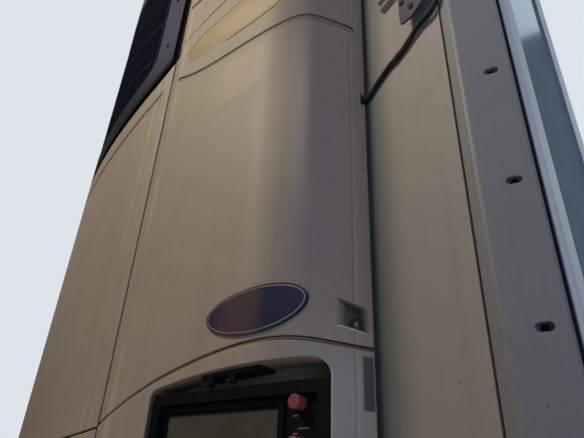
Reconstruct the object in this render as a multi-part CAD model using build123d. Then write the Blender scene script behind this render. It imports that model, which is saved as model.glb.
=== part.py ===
from build123d import *
from math import atan2, cos, degrees, radians, sin, sqrt, tan
import os

os.makedirs("parts", exist_ok=True)

# Front wall of a refrigerated semi-trailer with the cooling unit that is bolted to it.
# Frame: X across the trailer (+X is the trailer's left), Y towards the load space, Z up.
# Origin: middle of the rear joining face, at the height of the load floor. Millimetres.

# Wall
WALL_HALF_WIDTH = 1300
WALL_BOTTOM = -160
WALL_TOP = 2760
FRAME_DEPTH = 140
PANEL_THICKNESS = 100
RAIL_HEIGHT = 180
TOP_RAIL_HEIGHT = 120
RAIL_WALL = 6
CAP_WIDTH = 76
CAP_RUN = 50
CAP_EDGE = 6
CAP_SETBACK = 37
CAP_THICKNESS = 30
CAP_LIP = 4
CAP_FOLD = 12
FASTENER_SLOT = (18, 10)
FASTENER_DEPTH = 7
FASTENER_SHARE = 0.63
FASTENER_START = 111
FASTENER_PITCH = 177
POST_GROOVE = 4
POST_NOSE = 10
POST_ROUND = 8
POST_FLANGE_START = 66
POST_STEP = 3
BEAD_WIDTH = 12
BOLT_HOLE_RADIUS = 7
BOLT_INSET_X = 60
BOLT_INSET_Z = 60
PAST = 10

# Plan outline of the unit's housing
UNIT_HALF_WIDTH = 1025
UNIT_DEPTH = 430
UNIT_BOTTOM = 400
UNIT_HEIGHT = 2227
FACE_ANGLE = 24.66
CORNER_DEPTH = 88
CORNER_RADIUS = 90
FRONT_BEND = 0.805
SKIN = 5
WALL_GAP = 8

# Seams and styling lines of the housing
SEAM = 4
DOOR_GAP = 6
DOOR_WIDTH = 465
ARCH_START_Z = 958
ARCH_ROUTE = ((362, 1009), (248, 1042), (96, 1058), (-5, 1037))
UPPER_START_Z = 1937
UPPER_PEAK = (225, 2021)
UPPER_END_Z = 1995
LIP_HEIGHT = 10
LIP_RISE = 5
LIP_CLEARANCE = 5
LIP_WALL = 3
LIP_START = 60
FRONT_SPLIT_Z = 908
FRONT_SPLIT_DROP = 5
TOP_BAND = 90
GROOVE_WIDTH = 16
GROOVE_DEPTH = 3
GROOVE_END = 30
GROOVE_DROP = 81
GROOVE_PATH = ((437, 1795), (259, 1764), (131, 1754), (59, 1730), (10, 1682), (-10, 1660))
UPPER_GROOVE_PATH = ((445, 2087), (330, 2097), (172, 2085), (66, 2062), (-10, 2022))

# Grille and its surround
SWEEP_RADIUS = 900
TRIM_OVERLAP = 5
TRIM_LOW_Z = 1696
TRIM_CORNER = 15
TRIM_DEPTH = 20
TRIM_WIDTH = 110
BAND_WIDTH = 26
BAND_DEPTH = 10
STEP_WIDTH = 9
STEP_DEPTH = 3
GRILLE_LOW_Z = 1818
GRILLE_CORNER = 90
GRILLE_TOP_GAP = 70
GRILLE_SINK = 2
GRILLE_PLAY = 1
GRILLE_THICKNESS = 10
GRILLE_LAP = 20
GRILLE_RIM = 8
SLOT_WIDTH = 11
SLOT_PITCH = 18
RIB_HEIGHT = 12
RIB_ROWS = 3
FIT = 0.3

# Control panel recess in the left lower corner
RECESS_NEAR = 2
CONTROL_GAP = 4
RECESS_NEAR_Z = 1021
RECESS_CROWN = (85, 1026)
RECESS_FAR_Z = 1004
RECESS_BOTTOM_Z = 680
RECESS_TURN = 2.5
RECESS_DEPTH = 46
RECESS_WALL = 4
RECESS_CORNER = 16
RECESS_NEAR_CORNER = 24
CONTROL_WIDTH = 356
CONTROL_TOP_Z = 998
CONTROL_HEIGHT = 298
CONTROL_THICKNESS = 40
CONTROL_CORNER = 14
BEZEL_STEP = 10
BEZEL_RIM = 18
DISH_CORNER = 10
DISPLAY_SIZE = (231, 110)
DISPLAY_INSET = 93
DISPLAY_DROP = 34
DISPLAY_SINK = 4
DISPLAY_CORNER = 4
FRAME_SIZE = (260, 158)
FRAME_INSET = 80
FRAME_DROP = 20
FRAME_RIM = 9
FRAME_RISE = 3
FRAME_CORNER = 6
BUTTON_RADIUS = 10
BUTTON_HEIGHT = 20
BUTTON_ROUND = 2
BUTTON_COLUMN = 52
BUTTON_DROP = 30
BUTTON_PITCH = 53
BUTTON_ROWS = 4
KEEPER_SIZE = (120, 40, 5)
KEEPER_ALONG = 190
KEEPER_OFFSET = 4
HOOK_SIZE = (8, 14, 8)
HOOK_TIP = 9
HOOK_PLACES = (-40, 6)

# Doors and their swan-neck hinges
HINGE_SIDE = 62
HINGE_DEPTH = 26
PIN_RADIUS = 6
PIN_PLAY = 0.3
KNUCKLE_RADIUS = 11
KNUCKLE_HEIGHT = 34
ARM_INNER = 78
ARM_WIDTH = 12
HINGE_LOW_Z = 1180
HINGE_HIGH_Z = 1640
ARM_FOOT = 60
ARM_TURN = 114
PIN_END = 12
PIN_BRACKET = (16, 14, 8)
PIN_BRACKET_GAP = 3
NOTCH_DEPTH = 30
POCKET_OUTLINE = ((19, 1060), (48, 1063), (76, 1068), (77, 1109), (22, 1096))
POCKET_DEPTH = (18, 6)
POCKET_SPAN = 50
POCKET_CORNER = 5
POCKET_WALL = 4

# Steel frame inside the unit
TUBE = 50
UPRIGHT_INSET = 100
INNER_DEPTH = 200
MIDDLE_TUBE_Z = 1290
BAR_WIDTH = 80
BAR_THICKNESS = 6
BAR_LAP = 12
LOWER_BAR_Z = 880
TOP_BAR_Z = 2100
BRIDGE_WIDTH = 30
LINK_LAP = 90
LINK_REACH = 40
LINK_INSET = 24
RECESS_ROOM = 8
PAN_THICKNESS = 4
LIFT_EYE_OUT = 35
LIFT_EYE_RADIUS = 16
LIFT_PLATE = 10
LIFT_WIDTH = 70
LIFT_DEPTH = 55
LIFT_RISE = 38
LIFT_CLEARANCE = 3

# Condenser and its fans, behind the grille
FAN_SHARE = 0.46
FAN_Z = 2200
FAN_SPACING = 53
FAN_HUB = 60
FAN_BLADES = 5
FAN_WIDTH = 34
FAN_DEPTH = 150
FAN_PITCH = 62
FAN_BLADE = 4
FAN_CLEARANCE = 8
FAN_SHAFT = 9
SHAFT_PLAY = 0.3
MOTOR_RADIUS = 55
MOTOR_GAP = 8
SHROUD_WALL = 6
CONDENSER_LOW_Z = 1850
CONDENSER_HEIGHT = 660
CONDENSER_INSET = 30
CONDENSER_THICKNESS = 46

# Machinery in the lower part
ENGINE_SIZE = (290, 400)
ENGINE_GAP = 45
ENGINE_DEPTH = 62
ENGINE_ROUND = 14
COMPRESSOR_SIZE = (150, 120, 330)
COMPRESSOR_DEPTH = 62
COMPRESSOR_GAP = 35
BATTERY_SIZE = (180, 95, 210)
BATTERY_DEPTH = 62
BATTERY_SHIFT = 30

# Evaporator in the wall's hatch
EVAP_HALF_WIDTH = 690
EVAP_BOTTOM = 1830
EVAP_TOP_ROOM = 70
EVAP_REACH = 170
EVAP_SKIN = 6
EVAP_FAN_X = 330
EVAP_FAN_SHARE = 0.305
EVAP_FAN_RISE = 80
OUTLET_SIDE = 60
OUTLET_TOP = 30
OUTLET_HEIGHT = 120
COIL_CLEARANCE = 8
COIL_THICKNESS = 90
COIL_TOP_ROOM = 180

# Cable: share of the way from the housing's side to the wall's seam, depth in front of the wall, z
CABLE_RADIUS = 4.5
CABLE_ROOM = 8
BEND_SHARE = 0.45
CABLE_ROUTE = (
    (-0.166, 4.8, 1500),
    (0.025, 4.8, 1504),
    (0.206, 4.8, 1517),
    (0.377, 5, 1524),
    (0.548, 4.8, 1526),
    (0.698, 6, 1534),
    (0.822, 8, 1539),
    (0.93, 9, 1535),
    (1.015, 8, 1545),
    (1.04, 6, 1568),
    (1.025, 4.8, 1594),
    (1.01, 4.8, 1624),
    (1.015, 4.8, 1660),
)

# Bent cover plate over the cable, measured from the wall's seam
BRACKET_OUTLINE = ((-68, 1560), (-38, 1551), (-8, 1560), (-8, 1640), (-68, 1640))
BRACKET_STAND = 18
BRACKET_PLATE = 4
BRACKET_FOOT = (-62, -14)
BRACKET_ROUND = 6

# Blank badge plate on the left door
BADGE_SIZE = (213, 76, 4)
BADGE_ALONG = 135
BADGE_Z = 1107

YAW = radians(FACE_ANGLE)
WALL_FACE = -FRAME_DEPTH
FOLD_Y = WALL_FACE - CORNER_DEPTH + CORNER_RADIUS * tan(radians(90 - FACE_ANGLE) / 2)
FLAT_HALF = UNIT_HALF_WIDTH - (UNIT_DEPTH - CORNER_DEPTH) / tan(YAW)
FRONT_RADIUS = FRONT_BEND * FLAT_HALF / tan(YAW / 2)
UNIT_TOP = UNIT_BOTTOM + UNIT_HEIGHT
UNIT_FRONT = WALL_FACE - UNIT_DEPTH
GROOVE_LOW_Z = TRIM_LOW_Z - GROOVE_DROP
CAP_INNER_X = WALL_HALF_WIDTH - CAP_WIDTH
CAP_TURN_X = WALL_HALF_WIDTH - CAP_EDGE - CAP_RUN
SEAM_X = UNIT_HALF_WIDTH - DOOR_WIDTH
RECESS_FAR = RECESS_NEAR + CONTROL_WIDTH + 2 * CONTROL_GAP
TRIM_HALF_WIDTH = SEAM_X + TRIM_OVERLAP
GRILLE_HALF_WIDTH = TRIM_HALF_WIDTH - TRIM_WIDTH
UPRIGHT_X = UNIT_HALF_WIDTH - UPRIGHT_INSET
INNER_X = SEAM_X - TUBE / 2
LIFT_EYE_X = TRIM_HALF_WIDTH + LIFT_EYE_OUT
FAN_X = round(FAN_SHARE * SEAM_X)
FAN_RADIUS = FAN_X - FAN_SPACING
CONDENSER_REACH = INNER_X - CONDENSER_INSET
COMPRESSOR_X = INNER_X - TUBE / 2 - COMPRESSOR_SIZE[0] / 2 - COMPRESSOR_GAP
ENGINE_WIDTH = 2 * (COMPRESSOR_X - COMPRESSOR_SIZE[0] / 2 - ENGINE_GAP)
BATTERY_X = (UPRIGHT_X + INNER_X) / 2 - BATTERY_SHIFT
EVAP_TOP = WALL_TOP - TOP_RAIL_HEIGHT - EVAP_TOP_ROOM
OUTLET_LOW_Z = EVAP_TOP - OUTLET_TOP - OUTLET_HEIGHT
EVAP_FAN_RADIUS = round(EVAP_FAN_SHARE * (OUTLET_LOW_Z - EVAP_BOTTOM))
EVAP_FAN_Z = EVAP_BOTTOM + EVAP_FAN_RADIUS + EVAP_FAN_RISE
COIL_HEIGHT = EVAP_TOP - EVAP_BOTTOM - COIL_TOP_ROOM


def save(shape, name):
    export_step(shape, f"parts/{name}.step")


def mirrored(shape):
    return mirror(shape, about=Plane.YZ)


def box(x0, x1, y0, y1, z0, z1):
    centre = ((x0 + x1) / 2, (y0 + y1) / 2, (z0 + z1) / 2)
    return Pos(*centre) * Box(x1 - x0, y1 - y0, z1 - z0)


def plan_points(inset):
    """Corner points of the housing's plan, moved inwards by inset."""
    side = UNIT_HALF_WIDTH - inset
    corner_y = WALL_FACE - CORNER_DEPTH + inset / cos(YAW) - inset * tan(YAW)
    front_y = UNIT_FRONT + inset
    front_x = side - (corner_y - front_y) / tan(YAW)
    return side, corner_y, front_x, front_y


def plan(inset, rear):
    """Closed plan of the housing at an inset, from the line y = rear forwards."""
    side, corner_y, front_x, front_y = plan_points(inset)
    points = [
        (side, rear),
        (side, corner_y),
        (front_x, front_y),
        (-front_x, front_y),
        (-side, corner_y),
        (-side, rear),
    ]
    corner = CORNER_RADIUS - inset
    front = FRONT_RADIUS - inset
    path = FilletPolyline(*points, radius=[corner, front, front, corner])
    return make_face(path.edges() + Line(points[-1], points[0]).edges())


def filled(inset, low, high, rear=WALL_FACE - WALL_GAP):
    return Pos(0, 0, low) * extrude(plan(inset, rear), high - low)


def skin(low, high, outer=0, inner=SKIN, rear=WALL_FACE - WALL_GAP):
    """Bent wall of the housing between two insets, open towards the trailer."""
    return filled(outer, low, high, rear) - filled(inner, low - 1, high + 1, rear + 1)


def front_prism(face):
    """Extrudes a face drawn in X and Z forwards through the whole unit."""
    return extrude(Plane.XZ.offset(-WALL_FACE - 4 * PAST) * face, UNIT_DEPTH + 20 * PAST)


def outline(*edges):
    return make_face(Curve() + list(edges))


def corner_region(low_edges, high_edges, inner_x):
    """Region from inner_x to beyond the side, between two rows of edges."""
    outer_x = UNIT_HALF_WIDTH + 6 * PAST
    low_start, low_end = low_edges[0] @ 0, low_edges[-1] @ 1
    high_start, high_end = high_edges[0] @ 0, high_edges[-1] @ 1
    side = Line((outer_x, low_end.Y), (outer_x, high_end.Y))
    out = Line(low_end, (outer_x, low_end.Y))
    back = Line((outer_x, high_end.Y), high_end)
    inner = Line(high_start, low_start)
    return outline(*low_edges, out, side, back, *high_edges, inner)


def lower_arch(shift, inner_x):
    """Arched seam above the control recess, moved up or down by shift."""
    route = [(UNIT_HALF_WIDTH - inwards, z + shift) for inwards, z in ARCH_ROUTE]
    return Spline((inner_x, ARCH_START_Z + shift), *route)


def upper_arch(shift, inner_x):
    """Arched seam between door and top corner, moved up or down by shift."""
    inwards, peak_z = UPPER_PEAK
    start = (inner_x, UPPER_START_Z + shift)
    middle = (UNIT_HALF_WIDTH - inwards, peak_z + shift)
    return ThreePointArc(start, middle, (UNIT_HALF_WIDTH + 5, UPPER_END_Z + shift))


def level(z, inner_x):
    return Line((inner_x, z), (UNIT_HALF_WIDTH + 5, z))


def sweep_z(low_z, x):
    """Height of the swept lower line of the grille at x."""
    return low_z + SWEEP_RADIUS - sqrt(SWEEP_RADIUS**2 - x**2)


def swept_face(half_width, low_z, top_z, corner):
    """Face with upright sides, a flat top and a lower edge that sweeps up to the sides."""
    side_z = sweep_z(low_z, half_width)
    low = ThreePointArc((-half_width, side_z), (0, low_z), (half_width, side_z))
    right = Line((half_width, side_z), (half_width, top_z))
    top = Line((half_width, top_z), (-half_width, top_z))
    left = Line((-half_width, top_z), (-half_width, side_z))
    face = outline(low, right, top, left)
    return fillet(face.vertices(), corner)


def swept_band(low_z, half_width, width):
    """Narrow band along the swept line, for a groove."""
    ends = sweep_z(low_z, half_width)
    low = ThreePointArc((-half_width, ends), (0, low_z), (half_width, ends))
    high = ThreePointArc((-half_width, ends + width), (0, low_z + width), (half_width, ends + width))
    right = Line((half_width, ends), (half_width, ends + width))
    left = Line((-half_width, ends), (-half_width, ends + width))
    return outline(low, right, high, left)


def groove_tool(face):
    """Shallow layer under the outer surface in front of the side flanges, kept where the face covers it."""
    far = UNIT_HALF_WIDTH + PAST
    flanges = box(-far, far, FOLD_Y, 0, UNIT_BOTTOM, UNIT_TOP)
    return (outer_layer(GROOVE_DEPTH) & front_prism(face)) - flanges


def corner_groove(route):
    """Band of a styling line across a corner panel, from near the seam to the side."""
    path = [(UNIT_HALF_WIDTH - inwards, z) for inwards, z in route]
    raised = [(x, z + GROOVE_WIDTH) for x, z in path]
    ends = [Line(low, high) for low, high in zip(path, raised)]
    return outline(Spline(*path), ends[-1], Spline(*raised), ends[0])


# Wall, rails and posts


def wall_panel():
    reach = CAP_INNER_X - SEAM / 2
    low = WALL_BOTTOM + RAIL_HEIGHT
    high = WALL_TOP - TOP_RAIL_HEIGHT
    panel = box(-reach, reach, WALL_FACE, WALL_FACE + PANEL_THICKNESS, low, high)
    hatch = box(
        -EVAP_HALF_WIDTH - FIT,
        EVAP_HALF_WIDTH + FIT,
        WALL_FACE - PAST,
        WALL_FACE + PANEL_THICKNESS + PAST,
        EVAP_BOTTOM - FIT,
        EVAP_TOP + FIT,
    )
    return panel - hatch


def bolt_holes(shape):
    x = WALL_HALF_WIDTH - BOLT_INSET_X
    for side in (-1, 1):
        for z in (WALL_BOTTOM + BOLT_INSET_Z, WALL_TOP - BOLT_INSET_Z):
            hole = Pos(side * x, -FRAME_DEPTH / 2, z) * Rot(90, 0, 0)
            shape -= hole * Cylinder(BOLT_HOLE_RADIUS, 2 * FRAME_DEPTH)
    return shape


def rail(low, high):
    reach = CAP_INNER_X - SEAM / 2
    solid = box(-reach, reach, WALL_FACE, 0, low, high)
    wall = RAIL_WALL
    return solid - box(-reach - 1, reach + 1, WALL_FACE + wall, -wall, low + wall, high - wall)


def corner_cap():
    """Chamfered moulding that closes the wall's left edge, with a row of fastener slots."""
    inner = CAP_INNER_X + SEAM / 2
    outer = CAP_TURN_X + CAP_RUN
    front = WALL_FACE
    back = front + CAP_SETBACK + CAP_THICKNESS
    points = [
        (inner, front),
        (CAP_TURN_X, front),
        (outer, front + CAP_SETBACK),
        (outer, front + CAP_SETBACK + CAP_LIP),
        (CAP_TURN_X, back),
        (inner, back),
    ]
    face = make_face(Polyline(*points, close=True))
    fold = face.vertices().sort_by(Axis.Y)[:2].sort_by(Axis.X)[-1:]
    cap = Pos(0, 0, WALL_BOTTOM) * extrude(fillet(fold, CAP_FOLD), WALL_TOP - WALL_BOTTOM)
    height = WALL_TOP - WALL_BOTTOM - FASTENER_START
    for row in range(int(height / FASTENER_PITCH) + 1):
        plane = chamfer_plane(WALL_BOTTOM + FASTENER_START + row * FASTENER_PITCH)
        cap -= extrude(plane.offset(-FASTENER_DEPTH) * SlotOverall(*FASTENER_SLOT), FASTENER_DEPTH + PAST)
    return cap


def chamfer_plane(z):
    """Plane on the chamfer of the corner moulding where a fastener sits: x outwards, y up."""
    x = CAP_TURN_X + CAP_RUN * FASTENER_SHARE
    y = WALL_FACE + CAP_SETBACK * FASTENER_SHARE
    return Plane(origin=(x, y, z), x_dir=(CAP_RUN, CAP_SETBACK, 0), z_dir=(CAP_SETBACK, -CAP_RUN, 0))


def corner_post():
    """Corner extrusion with a rounded nose and a flange over the side wall."""
    inner = CAP_INNER_X - SEAM / 2
    rear_y = WALL_FACE + CAP_SETBACK + CAP_THICKNESS + FIT
    nose_y = WALL_FACE + CAP_SETBACK + CAP_LIP + POST_GROOVE
    step_y = WALL_FACE + POST_FLANGE_START
    points = [
        (inner, rear_y),
        (CAP_TURN_X + POST_GROOVE, rear_y),
        (WALL_HALF_WIDTH - POST_NOSE, nose_y),
        (WALL_HALF_WIDTH, nose_y),
        (WALL_HALF_WIDTH, step_y),
        (WALL_HALF_WIDTH - POST_STEP, step_y),
        (WALL_HALF_WIDTH - POST_STEP, -BEAD_WIDTH),
        (WALL_HALF_WIDTH, -BEAD_WIDTH),
        (WALL_HALF_WIDTH, 0),
        (inner, 0),
    ]
    face = make_face(Polyline(*points, close=True))
    nose = face.vertices().sort_by(Axis.Y)[:2].sort_by(Axis.X)[-1:]
    return Pos(0, 0, WALL_BOTTOM) * extrude(fillet(nose, POST_ROUND), WALL_TOP - WALL_BOTTOM)


# Housing panels


def lower_corner():
    inner_x = SEAM_X + SEAM / 2
    face = corner_region([level(UNIT_BOTTOM, inner_x)], [lower_arch(-DOOR_GAP / 2, inner_x)], inner_x)
    return (skin(UNIT_BOTTOM, UNIT_TOP) & front_prism(face)) + arch_lip()


def arch_lip():
    """Rain lip of the lower corner that rises behind the door's lower edge."""
    inner_x = SEAM_X + SEAM / 2
    start_x = SEAM_X + LIP_START
    step = LIP_CLEARANCE + SKIN
    seat_face = corner_region(
        [lower_arch(-DOOR_GAP / 2 - LIP_HEIGHT, inner_x)],
        [lower_arch(-DOOR_GAP / 2, inner_x)],
        inner_x,
    )
    rise_face = corner_region(
        [lower_arch(-DOOR_GAP / 2 - LIP_HEIGHT, inner_x)],
        [lower_arch(LIP_RISE, inner_x)],
        inner_x,
    )
    seat = skin(UNIT_BOTTOM, UNIT_TOP, SKIN - 1, step + LIP_WALL) & front_prism(seat_face)
    rise = skin(UNIT_BOTTOM, UNIT_TOP, step, step + LIP_WALL) & front_prism(rise_face)
    return (seat + rise) & box(start_x, UNIT_HALF_WIDTH, UNIT_FRONT, WALL_FACE, UNIT_BOTTOM, UNIT_TOP)


def face_plane(along, height):
    """Plane on the slanted face, along mm from its corner: x towards the corner, y up, z out."""
    side, corner_y, _, _ = plan_points(0)
    centre = (side - along * cos(YAW), corner_y - along * sin(YAW), height)
    return Plane(origin=centre, x_dir=(cos(YAW), sin(YAW), 0), z_dir=(sin(YAW), -cos(YAW), 0))


def recess_crown(grow):
    """Arched top of the recess, from its near side to its far side."""
    along, crown_z = RECESS_CROWN
    near = (grow - RECESS_NEAR, RECESS_NEAR_Z + grow)
    far = (-RECESS_FAR - grow, RECESS_FAR_Z + grow)
    return ThreePointArc(near, (-along, crown_z + grow), far)


def recess_face(grow):
    """Arched outline of the control recess on the slanted face, measured from the corner."""
    near = grow - RECESS_NEAR
    far = -RECESS_FAR - grow
    low = RECESS_BOTTOM_Z - grow
    crown = recess_crown(grow)
    base = Line((near, low), (far, low))
    face = outline(base, Line(base @ 1, crown @ 1), crown, Line(crown @ 0, base @ 0))
    near_top = face.vertices().sort_by(Axis.X)[-2:].sort_by(Axis.Y)[-1]
    face = fillet(near_top, RECESS_NEAR_CORNER + grow)
    sharp = face.vertices().sort_by(Axis.X)[:2] + face.vertices().sort_by(Axis.Y)[:2].sort_by(Axis.X)[-1:]
    return fillet(sharp, RECESS_CORNER + grow)


def recess_plane(along, height):
    """Plane of the recess's mouth, which lies deeper towards the corner than the slanted face."""
    side, corner_y, _, _ = plan_points(0)
    turn = radians(FACE_ANGLE + RECESS_TURN)
    reach = RECESS_FAR - along
    x = side - RECESS_FAR * cos(YAW) + reach * cos(turn)
    y = corner_y - RECESS_FAR * sin(YAW) + reach * sin(turn)
    return Plane(origin=(x, y, height), x_dir=(cos(turn), sin(turn), 0), z_dir=(sin(turn), -cos(turn), 0))


def control_recess():
    """Cutter for the recess and the pocket wall round it."""
    plane = recess_plane(0, 0)
    cutter = extrude(plane.offset(-RECESS_DEPTH) * recess_face(0), RECESS_DEPTH + 6 * PAST)
    wall_plane = plane.offset(-RECESS_DEPTH - RECESS_WALL)
    pocket = extrude(wall_plane * recess_face(RECESS_WALL), RECESS_DEPTH + RECESS_WALL + 6 * PAST)
    return cutter, pocket & filled(1, UNIT_BOTTOM, UNIT_TOP, WALL_FACE - WALL_GAP - RECESS_WALL)


def lower_corner_left():
    cutter, pocket = control_recess()
    return lower_corner() + pocket - cutter


def control_plane(outwards):
    """Plane parallel to the control panel's back, centred on it."""
    middle = (RECESS_NEAR + RECESS_FAR) / 2
    plane = recess_plane(middle, CONTROL_TOP_Z - CONTROL_HEIGHT / 2)
    return plane.offset(outwards - RECESS_DEPTH)


def control_spot(size, inset, drop):
    """Middle of a rectangle on the control panel, from its near edge and its top edge."""
    return Pos((CONTROL_WIDTH - size[0]) / 2 - inset, (CONTROL_HEIGHT - size[1]) / 2 - drop)


def control_panel():
    """Black panel with a raised rim, a second rim round the display, and the display's window."""
    body = extrude(control_plane(0) * RectangleRounded(CONTROL_WIDTH, CONTROL_HEIGHT, CONTROL_CORNER), CONTROL_THICKNESS)
    floor = CONTROL_THICKNESS - BEZEL_STEP
    wide = CONTROL_WIDTH - 2 * BEZEL_RIM
    high = CONTROL_HEIGHT - 2 * BEZEL_RIM
    body -= extrude(control_plane(floor) * RectangleRounded(wide, high, DISH_CORNER), BEZEL_STEP + PAST)
    wide, high = FRAME_SIZE
    spot = control_spot(FRAME_SIZE, FRAME_INSET, FRAME_DROP)
    rim = spot * RectangleRounded(wide, high, FRAME_CORNER)
    rim -= spot * RectangleRounded(wide - 2 * FRAME_RIM, high - 2 * FRAME_RIM, FRAME_CORNER - 1)
    body += extrude(control_plane(floor - 1) * rim, FRAME_RISE + 1)
    window = display_spot() * RectangleRounded(*DISPLAY_SIZE, DISPLAY_CORNER)
    return body - extrude(control_plane(floor - DISPLAY_SINK) * window, DISPLAY_SINK + PAST)


def display_spot():
    return control_spot(DISPLAY_SIZE, DISPLAY_INSET, DISPLAY_DROP)


def display():
    width, height = DISPLAY_SIZE
    glass = display_spot() * RectangleRounded(width - 2 * FIT, height - 2 * FIT, DISPLAY_CORNER - FIT)
    floor = CONTROL_THICKNESS - BEZEL_STEP
    return extrude(control_plane(floor - DISPLAY_SINK) * glass, DISPLAY_SINK / 2)


def buttons():
    """Column of push buttons beside the display."""
    floor = control_plane(CONTROL_THICKNESS - BEZEL_STEP)
    knobs = []
    for row in range(BUTTON_ROWS):
        x = CONTROL_WIDTH / 2 - BUTTON_COLUMN
        y = CONTROL_HEIGHT / 2 - BUTTON_DROP - row * BUTTON_PITCH
        knob = extrude(floor * Pos(x, y) * Circle(BUTTON_RADIUS), BUTTON_HEIGHT)
        knobs.append(fillet(knob.edges().group_by(Axis((0, 0, 0), floor.z_dir))[-1], BUTTON_ROUND))
    return Compound(knobs)


def recess_roof(along):
    """Height of the recess's roof at a distance from the corner."""
    upright = Axis((-along, 0), (0, 1))
    return max(point.Y for point in recess_crown(0).find_intersection_points(upright))


def latch_keeper():
    """Plate with two hooks, fixed under the recess's roof and tilted like it."""
    width, depth, thickness = KEEPER_SIZE
    near, far = [recess_roof(KEEPER_ALONG + side * width / 2) for side in (-1, 1)]
    tilt = degrees(atan2(near - far, width))
    plane = recess_plane(KEEPER_ALONG, (near + far) / 2 - thickness - 2 * FIT)
    spot = plane.location * Pos(0, 0, -KEEPER_OFFSET - depth / 2) * Rot(0, 0, tilt)
    plate = Pos(0, thickness / 2, 0) * Box(width, thickness, depth)
    wide, drop, deep = HOOK_SIZE
    for x in HOOK_PLACES:
        stem = Pos(x, -drop / 2, (depth - deep) / 2) * Box(wide, drop, deep)
        tip = Pos(x, -drop + wide / 4, (depth + HOOK_TIP) / 2) * Box(wide, wide / 2, HOOK_TIP)
        plate += stem + tip
    return spot * plate


def hinge_axis():
    """Plan position of the left door's hinge pins, behind the centre panel."""
    seam_y = face_y(SEAM_X)
    x = SEAM_X - HINGE_SIDE * cos(YAW) - HINGE_DEPTH * sin(YAW)
    y = seam_y - HINGE_SIDE * sin(YAW) + HINGE_DEPTH * cos(YAW)
    return x, y


def face_y(x):
    """Y of the slanted face's outer surface at x."""
    side, corner_y, _, _ = plan_points(0)
    return corner_y - (side - x) * tan(YAW)


def hinge_arm(z):
    """Swan-neck arm that carries the door round the centre panel's edge."""
    x, y = hinge_axis()
    spot = Pos(x, y, z) * Rot(0, 0, FACE_ANGLE)
    outer = ARM_INNER + ARM_WIDTH
    half = KNUCKLE_HEIGHT / 2
    seat = SKIN - HINGE_DEPTH
    far = 2 * outer
    ring = Cylinder(outer, KNUCKLE_HEIGHT) - Cylinder(ARM_INNER, KNUCKLE_HEIGHT + 2)
    wedge = make_face(Polyline((0, 0), (far, 2 * seat), (far, far), (far / tan(radians(ARM_TURN)), far), close=True))
    sector = Pos(0, 0, -KNUCKLE_HEIGHT) * extrude(wedge, 2 * KNUCKLE_HEIGHT)
    reach = Rot(0, 0, ARM_TURN) * box(0, outer - 2, -ARM_WIDTH / 2, ARM_WIDTH / 2, -half, half)
    knuckle = Cylinder(KNUCKLE_RADIUS, KNUCKLE_HEIGHT)
    arm = (ring & sector) + reach + knuckle
    arm -= Cylinder(PIN_RADIUS + PIN_PLAY, KNUCKLE_HEIGHT + 2)
    foot = box(ARM_INNER + 2, ARM_INNER + ARM_FOOT, seat - 1, seat + ARM_WIDTH, -half, half)
    return spot * (arm + foot)


def hinge_pin(z):
    """Fixed pin with a bracket on the centre panel's back."""
    x, y = hinge_axis()
    spot = Pos(x, y, z) * Rot(0, 0, FACE_ANGLE)
    half, reach, thickness = PIN_BRACKET
    near = KNUCKLE_HEIGHT / 2 + PIN_BRACKET_GAP
    pin = Cylinder(PIN_RADIUS, KNUCKLE_HEIGHT + 2 * PIN_END)
    back = SKIN - HINGE_DEPTH - 0.5
    lower = box(-half, half, back, reach, -near - thickness, -near)
    upper = box(-half, half, back, reach, near, near + thickness)
    return spot * (pin + lower + upper)


def cable_points():
    """Route of the cable, from the housing's side to the wall's seam and up."""
    run = CAP_INNER_X - UNIT_HALF_WIDTH
    return [(UNIT_HALF_WIDTH + share * run, WALL_FACE - depth, z) for share, depth, z in CABLE_ROUTE]


def cable_notch():
    """Notch in the door's rear edge where the cable passes."""
    _, y, z = cable_points()[1]
    half = CABLE_RADIUS + CABLE_ROOM
    return box(UNIT_HALF_WIDTH - NOTCH_DEPTH, UNIT_HALF_WIDTH + PAST, y - half, WALL_FACE, z - half, z + half)


def latch_pocket():
    """Cutter and wall of the moulded pocket at the door's lower corner, deeper towards the wall."""
    deep, shallow = POCKET_DEPTH
    start = POCKET_OUTLINE[0][0]
    rise = deep - shallow
    plane = Plane(
        origin=(UNIT_HALF_WIDTH - deep, WALL_FACE - start, 0),
        x_dir=(-rise, POCKET_SPAN, 0),
        z_dir=(POCKET_SPAN, rise, 0),
    )
    face = make_face(Polyline(*[(start - depth, z) for depth, z in POCKET_OUTLINE], close=True))
    face = fillet(face.vertices(), POCKET_CORNER)
    cutter = extrude(plane * face, deep + 2 * PAST)
    wall = extrude(plane.offset(-POCKET_WALL) * offset(face, POCKET_WALL), deep + 2 * PAST)
    return cutter, wall & filled(1, UNIT_BOTTOM, UNIT_TOP, WALL_FACE - WALL_GAP - POCKET_WALL)


def door():
    """Upper corner panel of the left side, hung at the seam with the centre panel."""
    inner_x = SEAM_X + DOOR_GAP / 2
    face = corner_region(
        [lower_arch(DOOR_GAP / 2, inner_x)],
        [upper_arch(-DOOR_GAP / 2, inner_x)],
        inner_x,
    )
    panel = skin(UNIT_BOTTOM, UNIT_TOP) & front_prism(face)
    panel -= front_prism(swept_face(TRIM_HALF_WIDTH + DOOR_GAP, TRIM_LOW_Z - DOOR_GAP, UNIT_TOP, TRIM_CORNER))
    panel -= groove_tool(corner_groove(GROOVE_PATH))
    panel -= cable_notch()
    for z in (HINGE_LOW_Z, HINGE_HIGH_Z):
        panel += hinge_arm(z)
    return panel


def door_left():
    cutter, wall = latch_pocket()
    return door() + wall - cutter


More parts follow.
